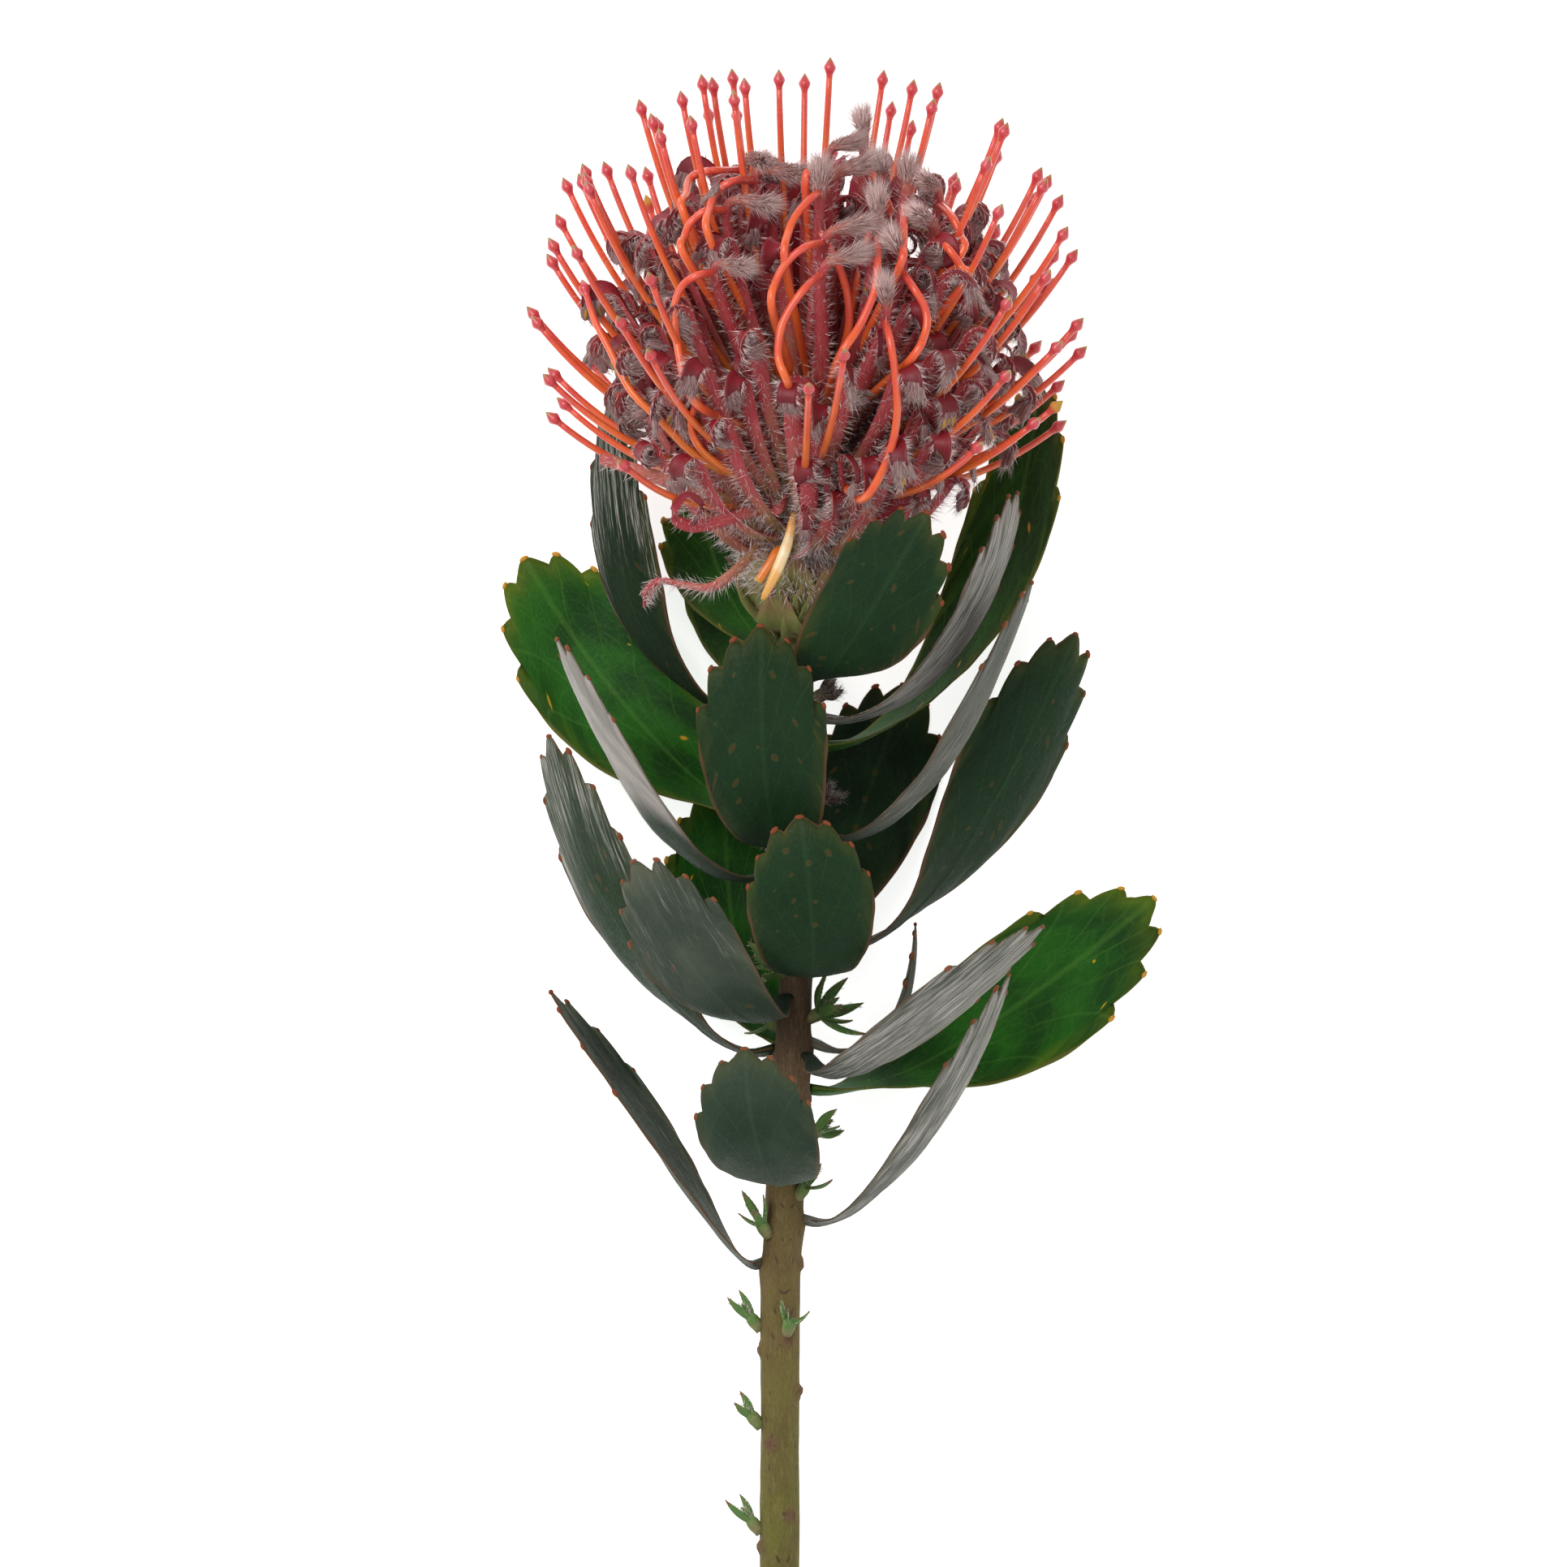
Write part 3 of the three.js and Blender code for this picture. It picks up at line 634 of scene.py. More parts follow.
# Two kinds are lit and shaded copies of the green skin: one paints light shining through the blade, one
# paints shade
leafTable = [  # root, azimuth, width, kind, handles, tip, face
    (-55.6, 187, 17, "green", [(-15, -59, 17), (-25.7, -39, 20)], (-45.5, -11.3, 22), (0.85, 0.45, 0.25)),
    (-48.2, -5, 14, "silver", [(3.5, -52, 18), (18.9, -37.7, 22)], (29.7, -8.6, 24), (-0.85, 0.4, -0.3)),
    (-39, 95, 19.5, "silver", [(-6.8, -46, 37), (-12.8, -40, 52)], (-13.8, -19.8, 49), (0.1, 0, -1)),
    (-26.2, -35, 22.5, "bright", [(9.5, -29.5, 11), (29.7, -16.1, 0)], (54.3, 4.5, -2.5), (0, 0.05, 1)),
    (-20.6, 35, 16, "silver", [(-0.2, -30, 35), (12.2, -18.8, 44)], (34.7, 0.1, 40), (-0.62, 0.68, -0.4)),
    (-19.4, 195, 18.5, "green", [(-18.9, -24.5, 19), (-39.2, -2.6, 18)], (-46.4, 31.5, 19),
     (0.75, 0.3, -0.55)),
    (-18.8, 255, 20, "bright", [(-13.5, -16.1, 9), (-18.2, 0.1, 0)], (-17.1, 24.4, -2.5), (0, 0, 1)),
    (-18.3, 0, 9, "silver", [(5, -22.8, 21), (14.9, -18.8, 22)], (14.9, 0.1, 22), (-0.95, 0.3, 0)),
    (-10.9, 130, 18.5, "silver", [(-11.5, -21.5, 42), (-23, -7.6, 50)], (-31.7, 10.9, 47), (0.5, 0.25, -0.8)),
    (-5.9, 285, 21, "green", [(-1.4, 2, 11), (5.4, 18, 0)], (12.8, 40.6, -2.5), (0, 0, 1)),
    (-3.9, 80, 20.5, "green", [(-2, -13, 44), (-1.4, -1.2, 59)], (-4.7, 18.8, 57), (0, 0, -1)),
    (-2.8, -12, 19.5, "green", [(16.2, -5.6, 21), (29.7, 23.1, 16)], (41.2, 49, 17), (-0.45, 0.35, -0.8)),
    (10.9, 170, 17.5, "silver", [(-21.6, 3.2, 35), (-33.8, 20.4, 33)], (-44.8, 47.8, 31), (0.93, 0.3, -0.2)),
    (16.3, 15, 16.5, "silver", [(12.2, 12.6, 35), (24.3, 29.8, 36)], (33.5, 57.1, 34), (-0.93, 0.3, -0.15)),
    (17, 102, 20.5, "green", [(-8.8, 7, 46), (-11.6, 25.8, 56)], (-11.2, 49.7, 54), (0, 0.05, -1)),
    (19, 215, 23.5, "bright", [(-17.5, 16.5, 15), (-36.5, 37.9, 0)], (-50.9, 62.2, -2.5), (0, 0, 1)),
    (31.5, -20, 17, "bright", [(14.9, 29.5, 25), (33.5, 57, 15)], (35.5, 92, 11), (-0.55, 0.15, 0.8)),
    (36.5, 25, 14, "silver", [(12.2, 31.5, 41), (28, 50.1, 34)], (31.5, 72.5, 25), (-0.85, 0.3, -0.4)),
    (36.6, 185, 15.5, "deepGreen", [(-24.3, 32.5, 29), (-39.5, 55.5, 22)], (-36.5, 88, 14), (0.8, 0.1, -0.6)),
    (38, 258, 19, "bright", [(-10.5, 39, 13), (-14.5, 52.5, 0)], (-15.8, 68, -2.5), (0, 0, 1)),
    (43.8, 65, 18.5, "green", [(-1.6, 38.5, 46), (6, 51, 62)], (15.5, 68.3, 67), (0.1, -0.1, -1)),
    (47, 230, 16.5, "bright", [(-13.5, 46.5, 21), (-18.9, 60, 11)], (-22.3, 73.7, 7), (0.15, 0.1, 1)),
]
# The haze is silky hair and partly a painted sheen; the streaks are silky hair
silkAndPaintedSheen = {  # haze and then streaks, each at the foot and towards the tip, and where they change
    1: (0.2, 0.06, 0.6, 0.55, 0.2, 0.6), 2: (0.34, 0.24, 0.8, 1.0, 0.3, 0.85),
    3: (0.07, 0.05, 0.1, 0.1, 0.2, 0.7), 5: (0.04, 0.32, 0.5, 0.95, 0.16, 0.5),
    6: (0.0, 0.1, 0.04, 0.8, 0.6, 0.95), 8: (0.4, 0.4, 0.4, 0.4, 0.2, 0.7),
    9: (0.03, 0.16, 0.12, 0.5, 0.3, 0.8), 12: (0.1, 0.0, 0.12, 0.05, 0.2, 0.6),
    13: (0.03, 1.25, 0.3, 0.5, 0.56, 0.68), 14: (0.1, 0.42, 0.5, 0.6, 0.2, 0.55),
    17: (0.02, 0.02, 0.0, 0.0, 0.2, 0.7), 18: (0.25, 0.35, 1.0, 1.1, 0.1, 0.5),
    19: (0.0, 0.03, 0.0, 0.8, 0.5, 0.9),
}
softTeeth = {3: 0.6, 11: 0.6}


def carried(out, along):  # the stem's own way, turned with the leaf as it leaves the stem
    return out.rotation_difference(along) @ Vector((0, 1, 0))


def makeLeaf(number, row, skins):
    root, azimuth, width, kind, handles, tip, facing = row
    out = outward(azimuth)
    start = stemPoint(root) + out * (radiusAt(root) + leafLook["seat"])
    midrib = [start, *[Vector(handle) for handle in handles], Vector(tip)]
    tipWay = bezierWay(midrib, 1)
    tipUp = carried(out, tipWay)
    twist = atan2(Vector(facing).dot(tipWay.cross(tipUp)), Vector(facing).dot(tipUp))
    length = sum((bezier(midrib, (k + 1) / 24) - bezier(midrib, k / 24)).length for k in range(24))
    columns, rows = leafLook["columns"], leafLook["rows"]
    near, far, plain, streaked, first, last = silkAndPaintedSheen.get(number, (0.0, 0.0, 0.0, 0.0, 0.2, 0.7))
    pile = newPile("fromMargin", "upper", "gland", "silver", "streaked")

    def toothAt(turn):
        uneven = 1 + 0.4 * (chance(number * 31 + round(turn / 23), 3) - 0.5)
        return read(toothLine, abs(turn)) * uneven * softTeeth.get(number, 1.0)

    def place(share, v, tooth):
        fullness = sqrt(max(0.0, 1 - v * v))
        t = min(1.0, share * (1 - leafLook["apexShare"] * (1 - fullness)))
        along = out.lerp(bezierWay(midrib, t), smooth(0, 0.2, t)).normalized()
        up = Quaternion(along, twist * smooth(0.1, 0.75, t)) @ carried(out, along)
        side = along.cross(up)
        half = width / 2
        x = v * half * lerp(leafLook["petioleShare"], 1, sin(pi / 2 * share) ** 1.25)
        point = bezier(midrib, t) + side * x + up * (leafLook["cup"] * x * x / half)
        point += (side * v + along * (fullness + 0.3)).normalized() * (tooth * leafLook["tooth"])
        wave = noise.noise(Vector((x * 0.13, share * length * 0.1, number * 5.7)))
        wave += 0.3 * noise.noise(Vector((x * 0.4, share * length * 0.22, number * 3.1)))
        point += up * (leafLook["wave"] * wave * smooth(0.15, 0.5, share))
        point.z = max(point.z, leafLook["blade"])
        return point, (up - side * (2 * leafLook["cup"] * x / half)).normalized(), x

    for face in (1, -1):
        for i in range(rows):
            share = i / (rows - 1)
            share = lerp(share, 1 - (1 - share) ** 1.35, 0.6)
            turned = smooth(first, last, share)
            stalk = 1 - smooth(0, 0.22, share)
            for j in range(columns):
                turn = -90 + 180 * j / (columns - 1)
                v = sin(radians(turn))
                point, normal, x = place(share, v, toothAt(turn) * smooth(0.88, 1, share))
                thick = leafLook["thick"] * (1 - 0.55 * v ** 4)
                petiole = leafLook["petiole"] * (1 - 0.5 * v * v)
                fromEdge = min((1 - abs(v)) * width / 2, (1 - share) * length * 0.8)
                bulk = lerp(leafLook["edge"], lerp(thick, petiole, stalk), smooth(-0.2, 1.4, fromEdge))
                ridge = leafLook["midrib"] * exp(-(x / 0.55) ** 2) * (1 - share) if face < 0 else 0.0
                point = point + normal * (face * (bulk + ridge))
                if share < 0.02:
                    point -= out * leafLook["rootDepth"]
                point.z = max(point.z, lowest["bulk"])
                # The haze here is partly painted sheen
                silver = (lerp(near, far, turned), lerp(plain, streaked, turned))
                addPoint(pile, point, (x, share * length, number * 9.7),
                         (fromEdge, float(face > 0), 0.0, *silver), (v, share, number * 3.37))
    faces, under = pile["faces"], rows * columns
    for i in range(rows - 1):
        for a in range(i * columns, (i + 1) * columns - 1):
            b, c = a + columns, a + under
            faces.extend([(a, a + 1, b + 1, b), (c, c + columns, c + columns + 1, c + 1)])
        for a in (i * columns, (i + 1) * columns - 1):
            faces.append((a, a + columns, a + columns + under, a + under))
    for j in range(columns - 1):
        for a in (j, j + under - columns):
            faces.append((a, a + 1, a + 1 + under, a + under))
    for turn in glandTurns:
        v = sin(radians(turn))
        centre, normal, x = place(1.0, v, toothAt(turn) - 0.15)
        before, after = [place(1.0, min(1.0, v + shift), toothAt(turn))[0] for shift in (-0.04, 0.04)]
        size = leafLook["gland"] * lerp(0.75, 1.15, chance(number, turn))
        addGland(pile, centre, normal, (after - before).normalized(), size, (x, length, number * 9.7),
                 (v, 1, number * 3.37))
    pieceFrom(pile, f"leafBlade_{number}", [f"leaf_{number}"], skins[kind])


def addGland(pile, centre, normal, edgeWay, radius, grain, blade):  # a callus cap along the tooth's end
    side = (edgeWay - normal * edgeWay.dot(normal)).normalized() * (1.7 * radius)
    over = normal.cross(side) * (0.9 / 1.7)

    def pointAt(ring, k):
        point = onBulge(centre, side, over, normal * (0.8 * radius), -72 + 36 * ring, k / 8)
        return point, grain, (0.0, 1.0, 1.0, 0.0, 0.0), blade

    addRings(pile, 5, 8, pointAt)


leafSkins = {
    "green": {"deep": "#0e2211", "light": "#1a3419", "under": "#1a341b", "vein": "#3a5a34",
              "margin": "#6c4632", "gland": "#7f4026", "halo": "#5c5a24", "spot": "#46301a",
              "veins": 0.12, "net": 0.05, "spots": 0.3, "gloss": 0.5, "shine": 0.14},
    # A darker copy of the green skin with less shine: painted shade
    "deepGreen": {"deep": "#0a1a0c", "light": "#132811", "under": "#122611", "vein": "#2c4828",
                  "margin": "#5c3a2a", "gland": "#7f3c22", "halo": "#5a5a22", "spot": "#3c160e",
                  "veins": 0.1, "net": 0.04, "spots": 0.05, "gloss": 0.6, "shine": 0.05},
    # A brighter, yellower copy of the green skin: painted light, for the glow of light shining through these
    # blades
    "bright": {"deep": "#103c08", "light": "#1f5c0c", "under": "#26660e", "vein": "#4c7c2c",
               "margin": "#6f6a30", "gland": "#c08c34", "halo": "#8a8420", "spot": "#c8961c",
               "veins": 0.3, "net": 0.1, "spots": 0.1, "gloss": 0.5, "shine": 0.14},
    "silver": {"deep": "#13261a", "light": "#1f3623", "under": "#223826", "vein": "#4c604c",
               "margin": "#5f4a38", "gland": "#7c4a30", "halo": "#5a592e", "spot": "#4a2a1e",
               "veins": 0.12, "net": 0.04, "spots": 0.08, "gloss": 0.5, "shine": 0.12},
}


def makeLeafSkin(name, look):
    material, tree, shader = newMaterial(name + "LeafSkin", Specular_IOR_Level=look["shine"])
    grain, blade = mark(tree, "grain", "Vector"), mark(tree, "blade", "Vector")
    fromMargin, streaked = mark(tree, "fromMargin"), mark(tree, "streaked")
    tone = useGroup(tree, unevenTone, Place=grain, Patch=9.0, Grit=0.45)
    veins = useGroup(tree, leafVeins, Blade=blade, Count=5.0)
    hairs = useGroup(tree, silkyHair, Grain=grain, Fineness=2.6, Length=15.0, Cover=streaked * 0.75 - 0.12)
    spots = useGroup(tree, callusSpots, Place=grain, Spacing=3.4, Share=look["spots"], Size=0.085)
    dots = useGroup(tree, callusSpots, Place=grain, Spacing=0.75, Share=0.4, Size=0.1)
    silky = hairs["Mask"] * spread(streaked, 0.0, 1.0, 0.0, 0.7)
    colour = coated(
        look["deep"],
        (tone["Patches"], look["light"]),
        ((1.0 - mark(tree, "upper")) * 0.6, look["under"]),
        (tone["Grain"] * 0.16, "#0f1f10"),
        (dots["Halo"] * 0.12, look["vein"]),
        (veins["Veins"] * look["veins"], look["vein"]),
        (veins["Net"] * look["net"], look["vein"]),
        (spots["Halo"] * 0.3, look["halo"]),
        (spots["Core"] * 0.75, look["spot"]),
        (spread(split(blade)[1], 0.92, 1.0) * 0.12, look["halo"]),
        (spread(fromMargin, 0.2, 2.4, 0.2, 0.0) * tone["Patches"], look["halo"]),
        # Grey haze: silky hair, partly a painted sheen
        (mark(tree, "silver") * (tone["Patches"] * 0.45 + 0.45), "#a69f99"),
        (silky, "#c6c0ba"),
        (spread(fromMargin, 0.0, 0.32, 0.65, 0.0), look["margin"]),
        (mark(tree, "gland"), look["gland"]),
    )
    relief = tone["Grain"] * 0.25 - veins["Veins"] * 0.7 + hairs["Height"] * streaked
    feed(shader, {"Base Color": colour, "Roughness": tone["Grain"] * 0.16 + look["gloss"] + silky * 0.25,
                  "Normal": raised(relief, 0.5, 0.00022)})
    return material


leafCushions = [(row[0] - 0.8, row[1], 0.55) for row in leafTable]
makeStem(makeBark(), leafCushions)
skins = {kind: makeLeafSkin(kind, look) for kind, look in leafSkins.items()}
for number, row in enumerate(leafTable, 1):
    makeLeaf(number, row, skins)
print("stem and", len(leafTable), "leaves made")


# The head: where its florets stand

headLook = {
    "ballHeight": 43.9,
    "count": 60,
    "goldenAngle": 137.508,
    "lowestAngle": 116,
    "firstRoot": 7.0,
    "lastRoot": 31.0,
    "firstStyle": 16.5,
    "openFront": 38,
    "face": 0.72,
    "receptacleRadius": 6.3,
    "receptacleLength": 37.0,
    "between": 300,
    "deeper": 120,
    "apart": 11.4,
    "youngApart": 9.0,
    "youngCone": 32,
    "clubFoot": 31,
    "clubTip": 36.5,
    "clubStyle": 35,
}
youngWay = Vector((0.24, 0.5, 0.82)).normalized()
bareWay = Vector((0.02, -0.62, 0.78)).normalized()
frontWay = Vector((0.03, -0.08, 1)).normalized()
clubTable = [  # foot and tip of each unopened floret, then the way its style takes, in mm from above
    ((-12.2, 124.2), (-3.1, 125.4), [(-15.5, 123.9), (-18.4, 122.2), (-19.4, 119.2), (-19.6, 114.5)]),
    ((-16.7, 119.2), (-8.5, 120.0), [(-20.0, 118.9), (-22.5, 117.0), (-23.6, 114.5), (-23.6, 111.5)]),
    ((0.0, 122.6), (6.8, 127.7), [(-2.4, 121.1), (-5.0, 118.3), (-6.5, 115.2), (-7.2, 110.2)]),
    ((-0.7, 113.4), (6.5, 116.9), [(-3.4, 112.7), (-6.3, 110.6), (-8.5, 107.1), (-9.3, 102.5)]),
    ((-1.1, 108.3), (5.4, 112.2), [(-3.6, 106.0), (-6.1, 102.7), (-7.8, 99.0), (-8.2, 94.4), (-6.8, 90.6)]),
    ((8.0, 114.9), (8.0, 121.6), [(8.0, 110.8), (7.4, 105.2), (4.9, 99.4), (1.8, 94.6)]),
    ((12.0, 108.9), (10.1, 114.9), [(13.8, 106.0), (15.8, 102.5), (15.8, 98.7), (13.5, 94.4)]),
    ((9.2, 100.8), (9.0, 106.8), [(10.0, 97.3), (10.9, 91.3), (11.1, 84.5), (9.5, 77.8), (5.7, 71.7)]),
    ((12.4, 120.3), (13.2, 126.8), [(12.3, 116.9), (12.2, 112.9), (11.6, 109.5)]),
    ((8.6, 123.0), (8.6, 127.7), []),
    ((18.2, 120.8), (15.5, 125.1), [(20.2, 118.3), (21.7, 114.9), (21.5, 111.5)]),
    ((17.3, 114.6), (14.0, 119.2), [(19.6, 112.7), (21.6, 109.8), (22.4, 107.1)]),
    ((5.9, 129.7), (5.7, 134.9), []),
    ((-0.3, 127.3), (4.6, 131.4), [(-2.7, 125.4), (-3.8, 123.0)]),
    ((-18.6, 108.6), (-13.0, 109.5),
     [(-21.3, 108.1), (-23.9, 106.4), (-25.2, 102.7), (-24.6, 96.0), (-22.0, 87.5)]),
    ((-14.0, 126.2), (-9.8, 127.6),
     [(-18.4, 125.8), (-21.2, 125.6), (-22.9, 124.4), (-23.4, 121.9), (-23.6, 118.3)]),
]
frontEnds = [  # the few ends that open towards the viewer, with their reach from the middle
    (-12.4, 98.1, 33), (-20.2, 92.6, 33), (-23.6, 102.1, 33), (-5.9, 89.5, 31), (2.7, 91.9, 32),
    (11.9, 91.9, 33), (10.1, 79.8, 32), (17.6, 81.8, 33), (-3.1, 77.2, 27), (0.8, 72.3, 29),
    (-17.2, 83.8, 31), (6.7, 77.7, 29), (13.5, 71.4, 33), (-21.9, 77.7, 33), (-14.2, 90.8, 28),
    (-1.4, 86.2, 26), (20.5, 74.5, 34),
]
ballCentre = onAxis(headLook["ballHeight"])
lowestShare = cos(radians(headLook["lowestAngle"]))


def fromAxis(turn):
    return headRight * cos(turn) + headFront * sin(turn)


def heading(angle, turn):
    return headAxis * cos(angle) + fromAxis(turn) * sin(angle)


def onBall(angle, turn, reach):
    return ballCentre + heading(angle, turn) * reach


def receptacleAt(height):
    down = max(0.0, height - 6) / 32
    return headLook["receptacleRadius"] * sqrt(max(0.0, 1 - down * down))


def lifted(path, least):  # eased up, so that nothing sinks into the surface
    for point in path:
        if point.z < least + 4:
            point.z = least + 4 * exp((point.z - least - 4) / 4)
    return path


def arch(start, end, bow, steps):
    along = (end - start).normalized()
    away = along * along.dot(headAxis) - headAxis
    middle = (start + end) * 0.5 + away * bow
    return [bezier([start, middle, end], k / steps) for k in range(steps + 1)]


def rootHeight(angle):
    share = (cos(angle) - lowestShare) / (1 - lowestShare)
    return lerp(headLook["firstRoot"], headLook["lastRoot"], min(1.0, max(0.0, share)) ** 0.85)


def inFront(x, y, reach):  # the point on a ball round the middle that is seen at x, y from above
    dx, dy = x - ballCentre.x, y - ballCentre.y
    reach = max(reach, hypot(dx, dy) * 1.03)
    return ballCentre + Vector((dx, dy, sqrt(reach * reach - dx * dx - dy * dy)))


def inBareFront(way):  # the front is open and shows the ribbons along their length
    return way.dot(frontWay) > cos(radians(headLook["openFront"])) or way.dot(bareWay) > 0.9


def overTheFace(way):
    return way.z > 0.25 and hypot(way.x, way.y) < headLook["face"]


def spiral(count, first, stray=0):  # even places over the head, from its lower rim to its top
    for k in range(count):
        angle = acos(lerp(lowestShare, 1, (k + 0.5) / count))
        turn = radians(k * headLook["goldenAngle"] + first + stray * (chance(k, 1) - 0.5))
        yield k, angle, turn, heading(angle, turn)


def placeFlorets():
    florets = []

    def clear(way, gap, kinds):
        limit = cos(radians(gap))
        return all(way.dot(other["way"]) < limit for other in florets if other["young"] in kinds)

    def addFloret(index, way, **more):
        angle = acos(way.dot(headAxis))
        turn = atan2(way.dot(headFront), way.dot(headRight))
        place = {"index": index, "angle": angle, "turn": turn, "height": rootHeight(angle), "way": way}
        florets.append({**place, **more})

    for k, (foot, tip, loop) in enumerate(clubTable):
        foot = inFront(*foot, headLook["clubFoot"])
        tip = foot.lerp(inFront(*tip, headLook["clubTip"]), 0.84)
        addFloret(200 + k, (tip - ballCentre).normalized(), young=True, foot=foot, tip=tip,
                  loop=[inFront(x, y, headLook["clubStyle"]) for x, y in loop])
    for k, (x, y, reach) in enumerate(frontEnds):
        end = inFront(x, y, reach)
        addFloret(600 + k, (end - ballCentre).normalized(), young=False, end=end,
                  plain=y < 84 or chance(k, 31) < 0.5)
        florets[-1]["height"] = lerp(12, 18, smooth(72, 104, y))
    for k, angle, turn, way in spiral(headLook["count"], 0, 10):
        young = way.dot(youngWay) > cos(radians(headLook["youngCone"]))
        if inBareFront(way) or young and not clear(way, headLook["youngApart"], (True,)):
            continue
        young = young and chance(k, 23) < 0.25
        addFloret(k, way, young=young, foot=onBall(angle, turn, 30), tip=onBall(angle * 0.8, turn, 37),
                  loop=[], plain=overTheFace(way) and chance(k, 32) < 0.75)
    for k, angle, turn, way in spiral(headLook["between"], 61):
        if not inBareFront(way) and clear(way, headLook["apart"], (True, False)):
            addFloret(400 + k, way, young=False, plain=overTheFace(way) and chance(k, 33) < 0.75)
    for k, angle, turn, way in spiral(headLook["deeper"], 200):  # shorter ones between, without a style
        if not inBareFront(way):
            addFloret(800 + k, way, young=False, deep=True, plain=overTheFace(way) or chance(k, 34) < 0.84)
    return florets


florets = placeFlorets()
print(len(florets), "florets placed,", sum(f["young"] for f in florets), "of them unopened,",
      sum(not f["young"] and not f["plain"] for f in florets), "with a style standing free")


# The perianths

perianthLook = {
    "reach": 33.5,
    "bow": 6.0,
    "lowBow": 4.0,
    "rootDepth": 2.0,
    "curl": 6.8,
    "tube": 1.3,
    "half": 1.6,
    "clawHalf": 0.55,
    "lobe": 3.2,
    "lobeHalf": 0.95,
    "clubHalf": 1.55,
    "lobeThick": 0.55,
    "clubThick": 0.92,
    "lowest": 1.2,
}
perianthHair = {
    "perFloret": 400,
    "perLobe": 36,
    "perClub": 760,
    "onReceptacle": 4200,
    "fringe": 2400,
    "perBract": 80,
    "width": 0.054,
    "silkWidth": 0.052,
}
perianthPile, deepPile = [newPile("along", "limb", "anther", "inner") for layer in range(2)]
tubeHair, lobeHair, clubHair = [], [], []


def floretStart(floret):
    height = floret["height"] - perianthLook["rootDepth"]
    return onAxis(height) + fromAxis(floret["turn"]) * max(0.0, receptacleAt(height) - 2)


def addCurl(path, angleOn, turn, curl, swing, length, steps):  # the end that bends back
    way = (path[-1] - path[-2]).normalized()
    first = acos(max(-1.0, min(1.0, way.dot(headAxis))))
    for k in range(1, steps + 1):
        share = k / steps
        onward = heading(first + curl * share ** angleOn, turn + swing * share)
        path.append(path[-1] + onward * (length / steps))
    return path


def addOpenPerianth(floret):
    i, deep = floret["index"], floret.get("deep")
    pile, steps, curls = (deepPile, 9, 7) if deep else (perianthPile, 13, 9)
    angle, turn = floret["angle"] + radians(4), floret["turn"] + radians(9)
    reach = perianthLook["reach"] * (0.92 - 0.1 * chance(i, 7) + 0.08 * smooth(0.3, 1.1, floret["angle"]))
    if deep:
        reach *= lerp(0.72, 0.94, chance(i, 24))
    bow = perianthLook["bow"] + perianthLook["lowBow"] * smooth(1.1, 1.9, floret["angle"])
    path = arch(floretStart(floret), floret.get("end") or onBall(angle, turn, reach), bow, steps)
    curl, swing = radians(lerp(130, 260, chance(i, 4))), radians(70) * (chance(i, 5) - 0.5)
    path = addCurl(path, 1.2, turn, curl, swing, perianthLook["curl"] * lerp(0.8, 1.15, chance(i, 16)), curls)
    sway = fromAxis(turn + 1.7) * (0.7 * chance(i, 8) - 0.35)
    path = lifted([point + sway * (sin(k * 0.4 + i) * smooth(2, 8, k)) for k, point in enumerate(path)],
                  perianthLook["lowest"])
    bend = steps / (steps + curls)
    twist = radians(170) * (chance(i, 25) - 0.5)

    def sectionAt(share):
        opened = smooth(0.12 * bend, 0.45 * bend, share)
        half = read([(0, 0.8), (0.25, 0.95), (0.55, 0.95), (0.72, 0.85), (0.85, 1.0), (1, 1.05)], share)
        thick = read([(0, 0.34), (0.6, 0.3), (1, 0.22)], share)
        channel = read([(0, 0.95), (0.2, 0.75), (0.4, 0.55), (0.68, 0.5), (0.85, 0.45), (1, 0.45)], share)
        radius = perianthLook["tube"] * lerp(0.75, 1, smooth(0, 0.3, share))
        return bladeSection(perianthLook["half"] * half, thick, channel, 6, 0.9 * (1 - opened), radius)

    def valuesAt(share):
        return share * 0.86, 0.5 * smooth(0.88, 1, share), 0.0

    across = fromAxis(turn + pi / 2)
    frames = addSweep(pile, path, across, sectionAt, valuesAt, i, lambda share: twist * smooth(0.5, 1, share))
    hairAlong(frames, sectionAt, i, perianthHair["perFloret"] // (3 if deep else 1))
    centre, side, outer, way = frames[-1]
    for place in (-0.6, 0.6) if deep else (-1, 0, 1):
        onward = (way + side * (place * lerp(0.05, 0.35, chance(i, 17 + int(place))))).normalized()
        addLobe(pile, centre + side * (place * 0.8) - way * 0.7, onward, side, i + place * 0.2,
                chance(i, 26) < (0.15 if "end" in floret else 0.4))
    if not deep and chance(i, 27) >= 0.35:
        addClaw(path[int(steps * 0.4)], across, i, angle, turn, reach)


def addClaw(start, across, i, angle, turn, reach):  # the narrow segment that splits off an open perianth
    turn += radians(16) * (chance(i, 11) - 0.5) + radians(5)
    claw = arch(start, onBall(angle + radians(6), turn, reach * lerp(0.78, 0.95, chance(i, 12))), 2.0, 9)
    curl, swing = radians(lerp(110, 300, chance(i, 13))), radians(100) * (chance(i, 14) - 0.5)
    claw = lifted(addCurl(claw, 1.0, turn, curl, swing, 8.5, 9), perianthLook["lowest"])

    def sectionAt(share):
        half = perianthLook["clawHalf"] * read([(0, 0.7), (0.3, 1), (1, 0.9)], share)
        return bladeSection(half, 0.2, 0.22, 4)

    frames = addSweep(perianthPile, claw, across, sectionAt,
                      lambda share: (lerp(0.4, 0.88, share), 0.0, 0.0), i + 0.5)
    hairAlong(frames, sectionAt, i + 0.5, perianthHair["perFloret"] // 5)
    centre, side, outer, way = frames[-1]
    addLobe(perianthPile, centre - way * 0.4, way, side, i + 0.5)


